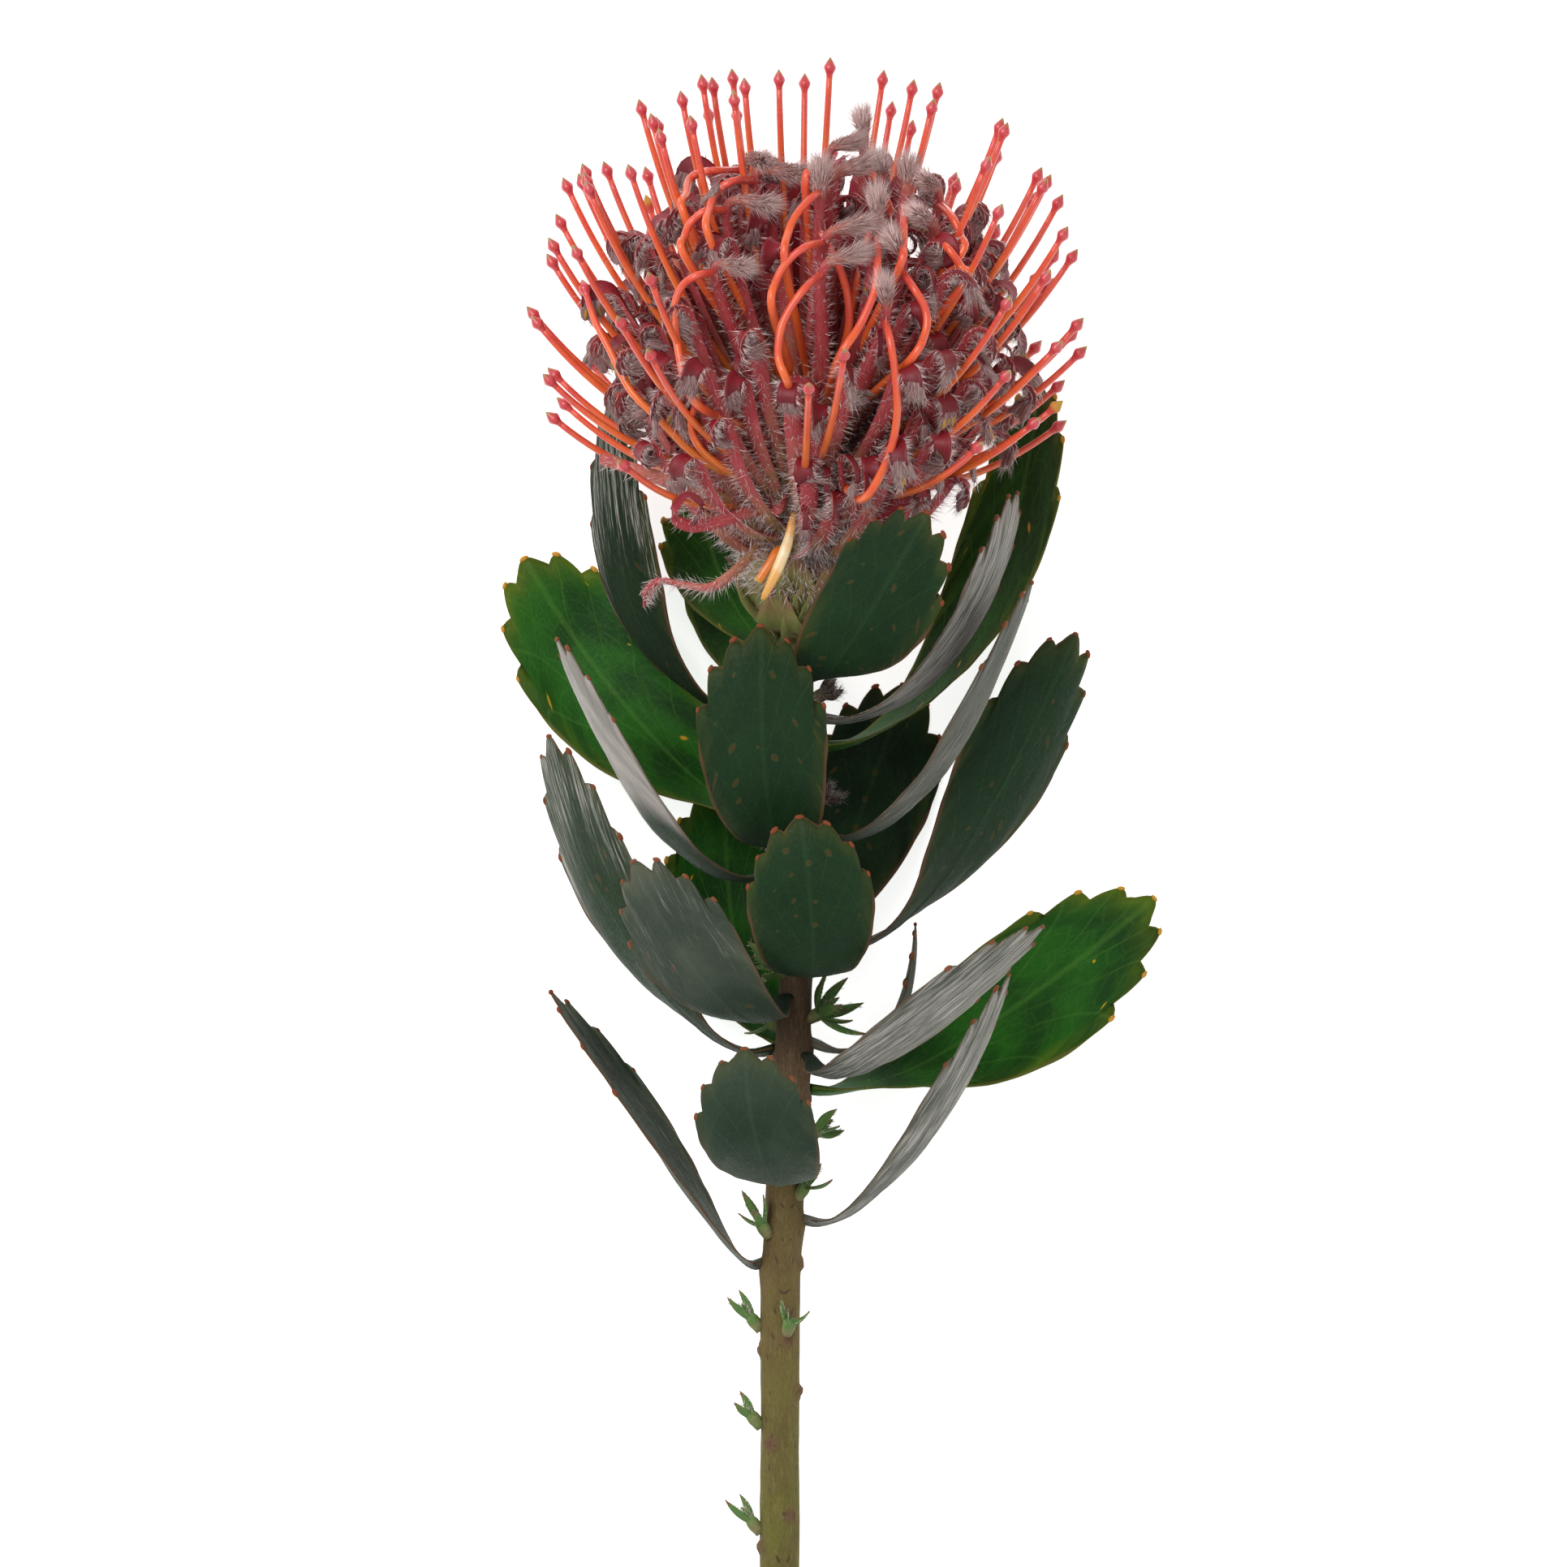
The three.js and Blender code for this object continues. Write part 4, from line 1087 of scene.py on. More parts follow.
def addLobe(pile, centre, way, side, seed, anther=False):  # a pointed tip of the limb, silky all round
    deep = way.cross(side)
    length = perianthLook["lobe"] * lerp(0.85, 1.15, chance(int(seed * 10), 18))
    cup = lerp(-0.25, 0.4, chance(int(seed * 10), 19))
    shares = (0, 0.2, 0.4, 0.6, 0.8, 0.95, 1.02)
    path = lifted([centre + way * (length * t) + deep * (cup * length * t * t) for t in shares], 1.0)

    def sectionAt(share):
        half = read([(0, 0.75), (0.33, 1), (0.6, 0.92), (0.84, 0.5), (1, 0.06)], share)
        return flatSection(perianthLook["lobeHalf"] * half, perianthLook["lobeThick"], 8)

    frames = addSweep(pile, path, side, sectionAt, lambda share: (0.88 + 0.12 * share, 1.0, 0.0), seed)
    if anther:
        middle, side, deep, way = frames[3]
        addAnther(pile, middle - deep * 0.42, way, side, seed)
    sprout = random.Random(f"lobe{seed}")
    for h in range(perianthHair["perLobe"]):
        k = sprout.randrange(0, 6)
        centre, side, deep, way = frames[k]
        turn = sprout.uniform(0, 2 * pi)
        half = perianthLook["lobeHalf"] * (1 - 0.13 * k)
        normal = side * cos(turn) + deep * (perianthLook["lobeThick"] * sin(turn))
        root = centre + normal * (half * 0.9) + way * sprout.uniform(-0.3, 0.3)
        aim = (way + normal * sprout.uniform(0.1, 1.1)).normalized()
        lobeHair.append((root, aim, sprout.uniform(1.0, 3.2), sprout.random()))


def addAnther(pile, centre, onward, side, seed):
    over = onward.cross(side)

    def pointAt(ring, k):
        point = onBulge(centre, side * 0.34, over * 0.26, onward, -80 + 40 * ring, k / 6)
        return point, (k, ring, seed), (1.0, 1.0, 1.0, 1.0)

    addRings(pile, 5, 6, pointAt)


def hairAlong(frames, sectionAt, seed, count):  # bristly hairs on the outer face and the edges
    sprout = random.Random(f"tube{seed}")
    last = len(frames) - 1
    for h in range(count):
        spot = sprout.uniform(0.03, 0.97) * last
        centre, side, deep, way = spotOn(frames, spot)
        section = sectionAt(spot / last)
        w, d, inner = section[sprout.randrange(0, len(section) // 2)]
        normal = (side * w * 0.9 + deep * (d + 0.8)).normalized()
        aim = (normal + way * sprout.uniform(0.0, 1.0) + side * sprout.gauss(0, 0.45)).normalized()
        length = sprout.uniform(0.9, 3.0) * lerp(1.25, 0.8, spot / last)
        tubeHair.append((centre + side * w + deep * d, aim, length, sprout.random()))


def addYoungPerianth(floret):  # a ribbon that is still a tube, with a woolly club at its end
    i, start = floret["index"], floretStart(floret)
    middle = start.lerp(floret["foot"], 0.55) + fromAxis(floret["turn"]) * (1.5 + 2.5 * chance(i, 6))
    floret["path"] = lifted(softPath([start, middle, floret["foot"], floret["tip"]], 9), 2)
    big = lerp(0.88, 1.12, chance(i, 9)) * perianthLook["clubHalf"]
    radii = [(0, 1.3), (0.3, 1.3), (0.5, 1.1), (0.62, 0.88), (0.7, 0.84), (0.78, big * 0.58),
             (0.89, big * 0.76), (0.95, big * 0.62), (0.985, big * 0.34), (1, 0.12)]
    tones = [(0, 0.0), (0.45, 0.5), (0.66, 0.42), (0.78, 0.27), (1, 0.27)]

    def sectionAt(share):
        return flatSection(read(radii, share), perianthLook["clubThick"], 10)

    def valuesAt(share):
        return read(tones, share), smooth(0.76, 0.93, share), 0.0

    frames = addSweep(perianthPile, floret["path"], fromAxis(floret["turn"] + pi / 2), sectionAt, valuesAt, i)
    sprout = random.Random(f"club{i}")
    last = len(frames) - 1
    for h in range(perianthHair["perFloret"] * 2 // 3):
        k = int(sprout.uniform(0.05, 0.75) * last)
        centre, side, deep, way = frames[k]
        w, d, inner = sprout.choice(sectionAt(k / last))
        normal = (side * w + deep * d).normalized()
        aim = (normal + way * sprout.uniform(0.1, 1.0)).normalized()
        root = centre + side * w + deep * d + way * sprout.uniform(-0.6, 0.6)
        tubeHair.append((root, aim, sprout.uniform(0.8, 2.4), sprout.random()))
    for h in range(perianthHair["perClub"]):
        spot = min(0.998, 0.74 + 0.27 * max(sprout.random(), sprout.random())) * last
        centre, side, deep, way = spotOn(frames, spot)
        turn = sprout.uniform(0, 2 * pi)
        normal = side * cos(turn) + deep * (perianthLook["clubThick"] * sin(turn))
        root = centre + normal * (read(radii, spot / last) * 0.95)
        stray = strayed(sprout, 0.07)
        fanned = smooth(0.76, 0.98, spot / last)
        flared = (0.4, 1.1) if sprout.random() < 0.2 else (0.02, lerp(0.25, 0.5, fanned))
        aim = (way + normal * sprout.uniform(*flared) + stray).normalized()
        clubHair.append((root, aim, sprout.uniform(1.0, 2.4) * lerp(0.8, 2.2, fanned), sprout.random()))


strayStrips = [  # path, half width along it, tone at its start and end, hairs. The first hangs to the left
    ([(-10, 67.9, 40), (-12.4, 63, 46), (-16.2, 59.3, 49), (-19.7, 57.4, 49), (-24.3, 57.9, 47),
      (-28.1, 58.5, 46), (-30.1, 56.2, 46), (-30.4, 54.4, 47)],
     [(0, 1.1), (0.3, 1.0), (0.5, 0.62), (0.68, 0.5), (0.85, 1.1), (0.93, 1.3), (1, 0.5)], 0.08, 0.5, 420),
    ([(-7, 70.9, 43), (-12.5, 69.9, 51), (-17.5, 68.2, 56), (-22.7, 67.4, 58), (-25.4, 69.2, 60),
      (-23.4, 72.6, 62), (-20.8, 70.8, 61), (-22.2, 67.6, 60)],
     [(0, 1.0), (0.4, 1.15), (0.55, 0.9), (0.7, 0.65), (1, 0.4)], 0.2, 0.86, 160),
    ([(-9, 69.5, 42), (-14.3, 70.9, 49), (-21.6, 73, 54), (-29.7, 76, 54), (-37.8, 78.7, 50)],
     [(0, 1.2), (0.5, 1.35), (1, 1.0)], 0.12, 0.3, 220),
    ([(-5, 67.2, 42), (2.7, 68.6, 50), (6.8, 69.5, 54), (12.4, 72.5, 57), (16.2, 73.6, 57)],
     [(0, 1.0), (0.4, 1.4), (0.7, 1.7), (1, 1.2)], 0.2, 0.62, 300),
    ([(-9.7, 76.7, 47), (-9.3, 72.2, 51), (-8.6, 70.1, 52), (-7.3, 72, 52), (-6.2, 73.9, 49)],
     [(0, 0.6), (0.5, 0.75), (1, 0.7)], 0.25, 0.2, 60),
    ([(-5.7, 80.3, 60), (-5.1, 75.7, 58), (-4.5, 71, 56), (-3, 65.2, 52), (-4.1, 63.3, 50), (-5.9, 62.2, 48)],
     [(0, 0.3), (0.3, 0.5), (0.6, 0.45), (1, 0.3)], 0.6, 0.3, 160),
    ([(-4.3, 76.5, 50), (-1.1, 76, 56), (1.6, 74.4, 58), (2.2, 72.8, 58), (0.3, 71.4, 57)],
     [(0, 0.8), (0.5, 0.7), (1, 0.3)], 0.4, 0.3, 120),
    ([(-7.4, 76.6, 50), (-5, 81.2, 56), (-2, 85.2, 61), (-2.2, 88.9, 64), (-5.3, 91, 65), (-8.4, 90, 64),
      (-10.4, 88.2, 62)], [(0, 0.7), (0.3, 0.95), (0.6, 1.2), (0.85, 0.8), (1, 0.4)], 0.2, 0.72, 220),
]
strayLobes = [  # silky tips that show across the front: place, way
    ((-5, 79.6, 58), (1, 0.05, 0.15)), ((-4.9, 78.7, 58), (1, -0.2, 0.1)),
    ((-5.2, 78, 57.5), (0.9, -0.45, 0.1)), ((-25.4, 72.4, 55), (-0.3, 1, 0.1)),
    ((-24.6, 72.6, 55), (0.2, 1, 0.2)), ((3.4, 88.6, 64), (1, 0.35, 0.2)),
    ((3.4, 87.6, 64), (1, 0.1, 0.2)), ((-29.6, 86.4, 60), (-1, -0.4, 0)), ((-29.4, 87.2, 60), (-1, 0.1, 0)),
]


def addStrayStrip(seed, points, halves, first, last, hairs):
    path = softPath([Vector(point) for point in points], 5)

    def sectionAt(share):
        return bladeSection(read(halves, share), 0.2, 0.28, 6)

    frames = addSweep(perianthPile, path, -headAxis, sectionAt,
                      lambda share: (lerp(first, last, share), 0.0, 0.0), seed)
    hairAlong(frames, sectionAt, seed, hairs)


for floret in florets:
    if floret["young"]:
        addYoungPerianth(floret)
    else:
        addOpenPerianth(floret)
for seed, row in enumerate(strayStrips, 90):
    addStrayStrip(seed, *row)
for seed, (place, way) in enumerate(strayLobes, 950):
    way = Vector(way).normalized()
    addLobe(perianthPile, Vector(place), way, way.cross(frontWay).normalized(), seed)


def addReceptacle(rows, sides):
    full = headLook["receptacleLength"]

    def pointAt(ring, k):
        height = lerp(-1.5, full + 0.7, ring / (rows - 1))
        radius = receptacleAt(max(0.0, height)) if height < full else 0.6
        turn = 2 * pi * k / sides
        knob = 0.35 * sin(turn * 9 + ring * 1.6) * sin(ring * 1.1)
        point = onAxis(height) + fromAxis(turn) * max(0.3, radius + knob - 0.4)
        return point, (turn * 4, height, 77), (-0.1, 0.0, 0.0, 0.0)

    addRings(perianthPile, rows, sides, pointAt)
    sprout = random.Random("receptacle")
    for h in range(perianthHair["onReceptacle"]):
        height, out = sprout.uniform(3, 36), fromAxis(sprout.uniform(0, 2 * pi))
        root = onAxis(height) + out * max(0.2, receptacleAt(height) - 0.3)
        aim = (out + headAxis * sprout.uniform(-0.1, 1.0) + strayed(sprout, 0.35)).normalized()
        tubeHair.append((root, aim, sprout.uniform(1.6, 4.2), sprout.random() * 0.6))
    for h in range(perianthHair["fringe"]):
        height, out = sprout.uniform(2, 9), fromAxis(sprout.uniform(0, 2 * pi))
        root = onAxis(height) + out * (receptacleAt(height) + sprout.uniform(-0.5, 3.5))
        aim = (out - headAxis * sprout.uniform(-0.2, 0.9) + strayed(sprout, 0.3)).normalized()
        tubeHair.append((root, aim, sprout.uniform(2.0, 4.5), 0.2 * sprout.random()))


addReceptacle(34, 28)


def makePerianthSkin():
    material, tree, shader = newMaterial("downyPerianth")
    grain = mark(tree, "grain", "Vector")
    along, limb, inner = [mark(tree, label) for label in ("along", "limb", "inner")]
    tone = useGroup(tree, unevenTone, Place=grain, Patch=6.0, Grit=0.16)
    hairs = useGroup(tree, silkyHair, Grain=grain, Fineness=5.5, Length=2.6, Cover=0.5)
    outer = ramp(along + (tone["Patches"] - 0.5) * 0.12,
                 [(0.0, "#86723f"), (0.12, "#a3784a"), (0.23, "#b36250"), (0.36, "#b24045"),
                  (0.55, "#a2222d"), (0.74, "#7a1722"), (0.87, "#5e222c"), (1.0, "#7a625f")])
    outer = coated(outer, (hairs["Mask"] * 0.22, "#e3aeaa"), (limb * 0.4, "#8a6c69"),
                   (hairs["Mask"] * limb * 0.55, "#c6aeaa"))
    gloss = ramp(along, [(0.0, "#a0584a"), (0.35, "#a02836"), (0.6, "#8e1424"), (0.78, "#6c101b"),
                         (1.0, "#561a23")])
    pollen = coated("#8f6a1c", (tone["Grain"], "#cf9d2a"))
    # Paler pink where the ribbon's faces meet at its edges: a painted highlight
    paintedEdgeHighlight = spread(inner * (1.0 - inner), 0.1, 0.25, 0.0, 0.7)
    colour = coated(outer, (inner, gloss), (paintedEdgeHighlight, "#d98a80"), (mark(tree, "anther"), pollen))
    feed(shader, {"Base Color": colour, "Roughness": spread(inner, 0.0, 1.0, 0.7, 0.52),
                  "Normal": raised(hairs["Height"] * (1.0 - inner * 0.8), 0.5)})
    return material


perianthSkin = makePerianthSkin()
pieceFrom(perianthPile, "downyPerianths", ["perianths"], perianthSkin)
pieceFrom(deepPile, "deeperPerianths", ["perianths"], perianthSkin)
print("perianths made,", len(perianthPile["faces"]) + len(deepPile["faces"]), "faces")


# The styles

styleLook = {
    "reach": 49.8,
    "bow": 13.0,
    "root": 0.74,
    "radius": 0.64,
    "neck": 0.54,
    "presenter": 1.06,
    "length": 3.5,
    "steps": 20,
    "youngLoop": 9.0,
    "dusted": 0.04,
    "lowest": 1,
}
presenterLine = [(0, 0.5), (0.18, 0.56), (0.34, 0.82), (0.46, 1.0), (0.56, 0.95), (0.8, 0.48), (0.94, 0.18),
                 (1, 0.05)]
sweptStyles = [  # two that leave the front of the cone and sweep out to the left
    [(-11.1, 74.9, 48), (-17.8, 76.8, 55), (-22.7, 79.8, 59), (-27.5, 84.6, 61), (-32.4, 89.5, 61),
     (-35.8, 96, 59), (-38.5, 101.4, 57), (-40, 106, 55)],
    [(-11.1, 74.7, 48), (-16.3, 76.4, 57), (-20.8, 79.8, 62), (-22.7, 83.7, 65), (-21.8, 87.1, 68)],
]
brokenStyles = [  # path, radius along it, tone along it
    ([(-4.2, 66.3, 36.7), (-5.5, 69.8, 48.5), (-6.6, 65.2, 51), (-8.2, 60.8, 51.5), (-10.8, 55.4, 51)],
     [(0, 0.5), (0.35, 0.6), (0.55, 0.95), (0.8, 0.95), (0.96, 0.6), (1, 0.42)],
     [(0, 0.05), (0.3, -0.22), (0.6, -0.4), (0.85, -0.3), (1, -0.16)]),
    ([(-5.4, 63.5, 36), (-7.9, 64.2, 45), (-9.6, 61.6, 47), (-11.6, 58.4, 47)],
     [(0, 0.6), (0.5, 0.78), (1, 0.75)], [(0, -0.1), (0.5, 0.2), (0.96, 0.14), (1, -0.3)]),
]
stylePile = newPile("along", "tip", "dust")


def addOpenStyle(floret):
    i, angle, turn = floret["index"], floret["angle"], floret["turn"]
    height = max(floret["height"], lerp(headLook["firstStyle"], 24, floret["height"] / 31))
    reach = styleLook["reach"] * (1 - 0.05 * chance(i, 3) - 0.04 * smooth(0.9, 1.8, angle))
    reach -= lerp(4, 2.2, smooth(0.3, 1, angle))
    end = onBall(0.94 * angle + 0.1 * (chance(i, 6) - 0.5), turn + 0.22 * (chance(i, 2) - 0.5), reach)
    bow = styleLook["bow"] - 3 * smooth(1.1, 1.9, angle)
    path = lifted(arch(onAxis(height) + fromAxis(turn), end, bow, styleLook["steps"]), styleLook["lowest"])
    addFreeStyle(path, fromAxis(turn - pi / 2), i)


def addFreeStyle(path, across, seed):  # the shaft with its pollen presenter
    radii = [(0, styleLook["root"]), (0.5, styleLook["radius"]), (1, styleLook["neck"])]
    addSweep(stylePile, path, across, lambda share: roundSection(read(radii, share)),
             lambda share: (share, 0.0, 0.0), seed)
    way = (path[-1] - path[-2]).normalized()
    dusted = float(chance(seed, 15) < styleLook["dusted"])
    head = [path[-1] + way * (styleLook["length"] * (k / 9 - 0.25)) for k in range(10)]
    addSweep(stylePile, lifted(head, styleLook["lowest"]), across,
             lambda share: roundSection(read(presenterLine, share) * styleLook["presenter"]),
             lambda share: (1.0, share, dusted), seed + 0.3)


def addYoungStyle(floret):  # held at both ends, so it bows out in a loop
    i, turn, tube = floret["index"], floret["turn"], floret["path"]
    if floret["loop"]:
        root = onAxis(max(floret["height"], headLook["firstStyle"])) + fromAxis(turn) * 3
        first, last = floret["foot"].lerp(tube[-10], 0.2), floret["loop"][-1].lerp(root, 0.45)
        path = softPath([first, *floret["loop"], last, root], 5)
    else:
        lean = fromAxis(turn + radians(lerp(-75, 75, chance(i, 21)))) + headAxis * -0.2
        size = styleLook["youngLoop"] * lerp(0.6, 1.1, chance(i, 22))
        path = []
        for k in range(25):
            t = 1 - k / 24
            along = lerp(0.1, 0.62, t) * (len(tube) - 1)
            point = tube[int(along)].lerp(tube[int(along) + 1], along - int(along))
            path.append(point + lean * (size * sin(pi * t ** 1.2) ** 0.9))
    addSweep(stylePile, lifted(path, styleLook["lowest"]), fromAxis(turn - pi / 2),
             lambda share: roundSection(lerp(0.66, 0.74, share)),
             lambda share: (1.0 - 0.32 * share, 0.0, 0.0), i)


for floret in florets:
    if floret["young"]:
        addYoungStyle(floret)
    elif not floret["plain"]:
        addOpenStyle(floret)
for seed, corners in enumerate(sweptStyles, 320):
    addFreeStyle(softPath([Vector(point) for point in corners], 5), headAxis, seed)
for seed, (corners, radii, tones) in enumerate(brokenStyles, 300):
    addSweep(stylePile, softPath([Vector(point) for point in corners], 6), headRight,
             lambda share: flatSection(read(radii, share), 0.55, 10),
             lambda share: (read(tones, share), 0.0, 0.0), seed)


def makeStyleSkin():
    material, tree, shader = newMaterial("waxyStyle", Coat_Roughness=0.25)
    along, tip, dust = [mark(tree, label) for label in ("along", "tip", "dust")]
    tone = useGroup(tree, unevenTone, Place=mark(tree, "grain", "Vector"), Patch=5.0, Grit=0.3)
    shaft = ramp((along + (tone["Patches"] - 0.5) * 0.16) * 0.7 + 0.3,
                 [(0.0, "#ecdcb0"), (0.1, "#e6ac5e"), (0.3, "#cf8f2c"), (0.42, "#e67c28"), (0.76, "#ee6c2a"),
                  (0.9, "#e45432"), (1.0, "#d9473e")])
    head = ramp(tip, [(0.0, "#dd4b42"), (0.25, "#d23e48"), (0.6, "#c93b4a"), (0.8, "#b8504a"),
                      (0.93, "#98864a"), (1.0, "#8f8a50")])
    powdered = ramp(tip, [(0.0, "#d8484a"), (0.3, "#cf4436"), (0.55, "#c0862e"), (1.0, "#a8892e")])
    head = coated(head, (dust, powdered))
    colour = coated(shaft, (spread(tip, 0.0, 0.08), head), (tone["Grain"] * 0.1, "#f0a070"))
    feed(shader, {"Base Color": colour, "Roughness": dust * 0.4 + 0.3, "Coat Weight": 0.3 - dust * 0.3,
                  "Normal": raised(tone["Grain"], 0.15, 0.0001)})
    return material


pieceFrom(stylePile, "waxyStyles", ["styles"], makeStyleSkin())
print("styles made,", len(stylePile["faces"]), "faces")


# The bracts under the head

bractLook = {
    "thick": 0.28,
    "cupSides": 24,
}
bractRings = [  # number, height on the axis, radius at the foot, length, half width, lean in degrees
    (4, -8.4, 2.7, 12.0, 4.1, 34), (5, -6.6, 3.4, 13.0, 4.2, 36), (6, -4.8, 4.6, 13.0, 4.2, 34),
    (7, -3.0, 5.8, 12.5, 3.9, 30), (8, -1.4, 6.6, 12.0, 3.4, 24),
]
bractLine = [(0, 0.75), (0.25, 1.0), (0.45, 0.98), (0.7, 0.66), (0.88, 0.28), (1, 0.05)]
bractCup = [(-6.9, 2.45), (-5, 3.3), (-2.5, 5.0), (0.4, 6.4), (1.2, 6.5)]  # height and radius
bractPile = newPile("along")
bractHair = []


def halfWidth(section):
    return max(abs(w) for w, d, inner in section)


def addBract(ring, k, count, height, radius, length, half, lean):
    turn = 2 * pi * (k + 0.5 * (ring % 2) + 0.25 * (chance(k, ring + 20) - 0.5)) / count
    tilt = radians(lean * lerp(0.7, 1.35, chance(k, ring + 30)))
    size = length * lerp(0.85, 1.15, chance(k, ring + 40))
    hook = 0.9 if chance(k, ring + 50) < 0.4 else 0.0
    point = onAxis(height) + fromAxis(turn) * (radius - 0.5)
    path = []
    for step in range(10):
        t = step / 9
        point = point + heading(tilt * (1.25 - 1.2 * t) + hook * t ** 6, turn) * (size / 9)
        path.append(point)

    def sectionAt(share):
        width = half * read(bractLine, share)
        return bladeSection(width, bractLook["thick"] * (1 - 0.5 * share), width * 0.3, 6)

    across = fromAxis(turn - pi / 2)
    frames = addSweep(bractPile, path, across, sectionAt, lambda share: (share,), k + ring * 20)
    sprout = random.Random(f"bract{ring}.{k}")
    for h in range(perianthHair["perBract"]):
        spot = sprout.uniform(0.15, 0.98) * 9
        centre, side, deep, way = frames[int(spot)]
        paintedEdgeHighlight = sprout.random() < 0.75
        edge = sprout.choice((-1, 1)) * sprout.uniform(0.6, 1) if paintedEdgeHighlight else sprout.uniform(-0.7, 0.7)
        root = centre + side * (halfWidth(sectionAt(spot / 9)) * edge) + deep * 0.15
        aim = (way * 0.8 + side * (edge * 0.8) + deep * sprout.uniform(0, 0.5)).normalized()
        bractHair.append((root, aim, sprout.uniform(0.5, 1.5), sprout.random()))


def cupPoint(ring, k):
    height, radius = bractCup[ring]
    turn = 2 * pi * k / bractLook["cupSides"]
    return onAxis(height) + fromAxis(turn) * radius, (turn * 3, height, 5), (0.1,)


for ring, row in enumerate(bractRings):
    for k in range(row[0]):
        addBract(ring, k, *row)
addRings(bractPile, len(bractCup), bractLook["cupSides"], cupPoint)


def makeBractSkin(name, stops, fuzz):
    material, tree, shader = newMaterial(name, Roughness=0.72)
    grain = mark(tree, "grain", "Vector")
    tone = useGroup(tree, unevenTone, Place=grain, Patch=2.5, Grit=0.25)
    hairs = useGroup(tree, silkyHair, Grain=grain, Fineness=4.0, Length=2.0, Cover=0.5)
    base = ramp(mark(tree, "along") + (tone["Patches"] - 0.5) * 0.25, stops)
    colour = coated(base, (tone["Grain"] * 0.14, "#3a3222"), (hairs["Mask"] * fuzz, "#c3b8a2"))
    feed(shader, {"Base Color": colour, "Normal": raised(hairs["Height"], 0.45)})
    return material


bractTones = [(0.0, "#9a8a5c"), (0.3, "#8c944e"), (0.6, "#968a4c"), (0.85, "#94684c"), (1.0, "#6a4238")]
bractSkin = makeBractSkin("downyBract", bractTones, 0.22)
pieceFrom(bractPile, "bractRings", ["involucre"], bractSkin)
print("bracts made")


# The side shoots and the woolly buds

shootTable = [  # at, azimuth, leaflets, length, spread
    (-6.5, 150, 4, 8, 62), (-14, 22, 7, 8.5, 58), (-15.5, 205, 3, 6, 50), (-34, 2, 2, 6.5, 40),
    (-43.5, 45, 3, 6.5, 40), (-50, 138, 4, 6.5, 36), (-66, 178, 2, 5.5, 30), (-66.5, 70, 2, 6, 42),
    (-82.5, 172, 2, 4.5, 28), (-100.5, 180, 2, 6.5, 22),
]
budTable = [(39.5, 10, 4, 4.2, 36), (22, 20, 4, 4, 36), (14.5, 160, 4, 3.6, 36)]
shootLook = {
    "half": 1.0,
    "thick": 0.32,
    "seat": 0.82,
    "bareStem": -40,
    "hairs": 160,
    "budHairs": 1100,
}
heartLine = [(0, 0.9), (0.5, 1.25), (0.8, 0.9), (1, 0.25)]
leafletLine = [(0, 0.6), (0.3, 0.95), (0.55, 1.0), (0.8, 0.6), (0.93, 0.25), (1, 0.04)]
shootNodes = [f"side_shoot_{number}" for number in range(1, 11)]
budNodes = [f"woolly_bud_{number}" for number in range(1, 4)]
shootHair, budHair = [], []


def makeShoot(name, node, row, material, woolly):
    at, azimuth, leaflets, length, wide = row
    out, onBareStem = outward(azimuth), at < shootLook["bareStem"]
    main = (out + Vector((0, 1.3 if onBareStem else 0.55, 0))).normalized()
    side = main.cross(Vector((0, 1, 0))).normalized()
    over = side.cross(main)
    seat = stemPoint(at) + out * (radiusAt(at) + shootLook["seat"])
    pile = newPile("along")
    heart = [seat + main * d for d in (-1.5, -0.6, 0.2, 1.0, 1.6, 2.1)]
    addSweep(pile, heart, side, lambda share: roundSection(read(heartLine, share), 10),
             lambda share: (share * 0.4,), at)
    strips = []
    for k in range(leaflets):
        lean = radians(wide * lerp(0.75, 1.25, chance(k, at)))
        strips.append((k / leaflets * 2 * pi + 0.6, lean, length * lerp(0.75, 1.15, chance(k, at + 1)), 1.0))
    for k in range(7 if woolly else 1 if onBareStem else 3):  # smaller scales round the heart
        reach = length * 0.55 * lerp(0.8, 1.2, chance(k, at + 2))
        strips.append((k * 2.4 + 0.2, radians(wide * 0.45), reach, 0.62))
    sprout = random.Random(name)
    for turn, lean, reach, size in strips:
        aside = side * cos(turn) + over * sin(turn)
        path = []
        for step in range(9):
            t = step / 8
            bend = lean * (1.12 - 0.3 * t)
            path.append(seat + main * 0.7 + (main * cos(bend) + aside * sin(bend)) * (t * reach))
        half = shootLook["half"] * size * (0.75 if onBareStem else 1)

        def sectionAt(share):
            width = half * read(leafletLine, share)
            return bladeSection(width, shootLook["thick"] * (1 - 0.6 * share), -width * 0.35, 5)

        frames = addSweep(pile, path, over * cos(turn) - side * sin(turn), sectionAt,
                          lambda share: (lerp(0.3, 1, share),), turn + at)
        for h in range(shootLook["budHairs" if woolly else "hairs"] // len(strips)):
            k = sprout.randrange(0, 8)
            centre, left, deep, way = frames[k]
            edge = sprout.uniform(-1, 1) if woolly else sprout.choice((-1, 1))
            face = sprout.choice((-0.6, 0.6)) if woolly else sprout.uniform(-0.3, 0.3)
            aim = (way * 0.9 + left * edge * 0.7 + deep * face).normalized()
            long = sprout.uniform(0.7, 1.9) if woolly else sprout.uniform(0.4, 1.0)
            root = centre + left * (halfWidth(sectionAt(k / 8)) * edge) + way * sprout.uniform(-0.4, 0.4)
            (budHair if woolly else shootHair).append((root, aim, long, sprout.random()))
    pieceFrom(pile, name, [node], material)


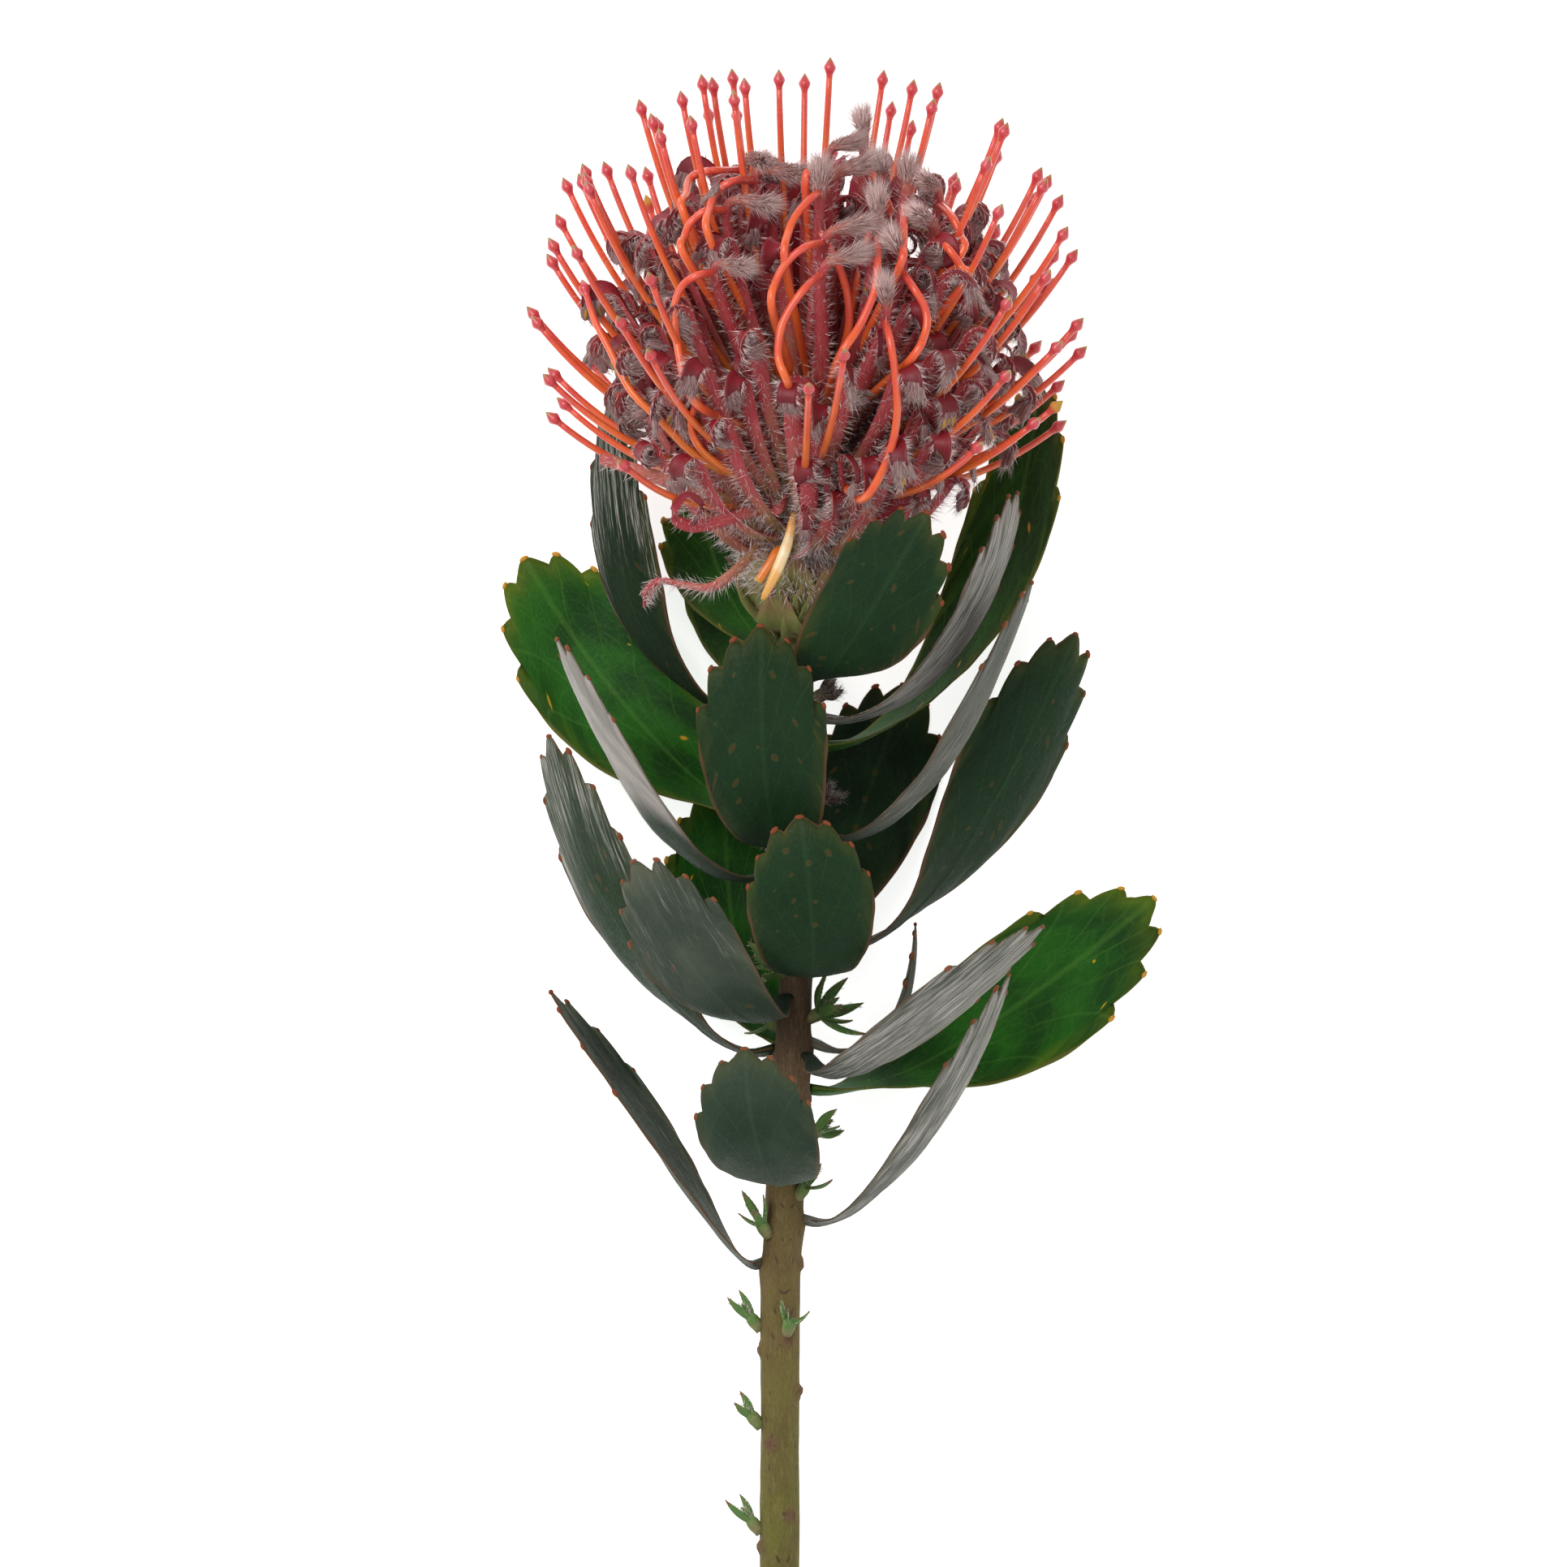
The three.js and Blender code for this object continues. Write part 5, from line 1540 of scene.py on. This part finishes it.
shootTones = [(0.0, "#7a7446"), (0.3, "#577834"), (0.7, "#48782e"), (0.93, "#647432"), (1.0, "#7c4a38")]
shootSkin = makeBractSkin("freshShoot", shootTones, 0.16)
budSkin = makeBractSkin("woollyBudSkin", [(0.0, "#6a5a48"), (0.5, "#584640"), (1.0, "#4a3030")], 0.55)
for number, (node, row) in enumerate(zip(shootNodes, shootTable), 1):
    makeShoot(f"leafletShoot_{number}", node, row, shootSkin, False)
for number, (node, row) in enumerate(zip(budNodes, budTable), 1):
    makeShoot(f"woollyTuft_{number}", node, row, budSkin, True)
print("side shoots and buds made")


# The hairs, each a thin closed spike

half = len(tubeHair) // 2
hairTable = [  # name, hairs, width, slot, nodes, then the colours at the root and at the tip
    ("tubeBristles", tubeHair[:half], "width", "perianth", ["perianths"], "#e8cac6", "#fffaf8"),
    ("tubeBristlesTop", tubeHair[half:], "width", "perianth", ["perianths"], "#e8cac6", "#fffaf8"),
    ("lobeSilk", lobeHair, "silkWidth", "perianth", ["perianths"], "#a98b87", "#fdf0ea"),
    ("clubSilk", clubHair, "silkWidth", "perianth", ["perianths"], "#b88079", "#fff0ec"),
    ("bractDown", bractHair, "width", "bract", ["involucre"], "#a3967c", "#dcd2be"),
    ("shootDown", shootHair, "width", "shoot", shootNodes, "#c8c0a8", "#eee8da"),
    ("budWool", budHair, "width", "bud", budNodes, "#8a7e7a", "#cfc6c0"),
]


def makeHairSkin(name, root, tip):
    material, tree, shader = newMaterial(name + "Skin", Roughness=0.5, Specular_IOR_Level=0.3)
    feed(shader, {"Base Color": coated(root, (mark(tree, "share"), tip), (mark(tree, "shade") * 0.7, root))})
    return material


for name, hairs, width, slot, nodes, rootColour, tipColour in hairTable:
    pile = newPile("share", "shade")
    for root, way, length, shade in hairs:
        root.z = max(root.z, lowest["hairRoot"])
        stout = lerp(1.9, 0.85, smooth(0, 0.3, shade))  # a few stout pale ones among many fine ones
        addHair(pile, root - way * 0.12, way, length, perianthHair[width] * stout, shade)
    pieceFrom(pile, name, nodes, makeHairSkin(name, rootColour, tipColour), sort=False)
    print(name, len(hairs), "hairs,", len(pile["faces"]), "faces")
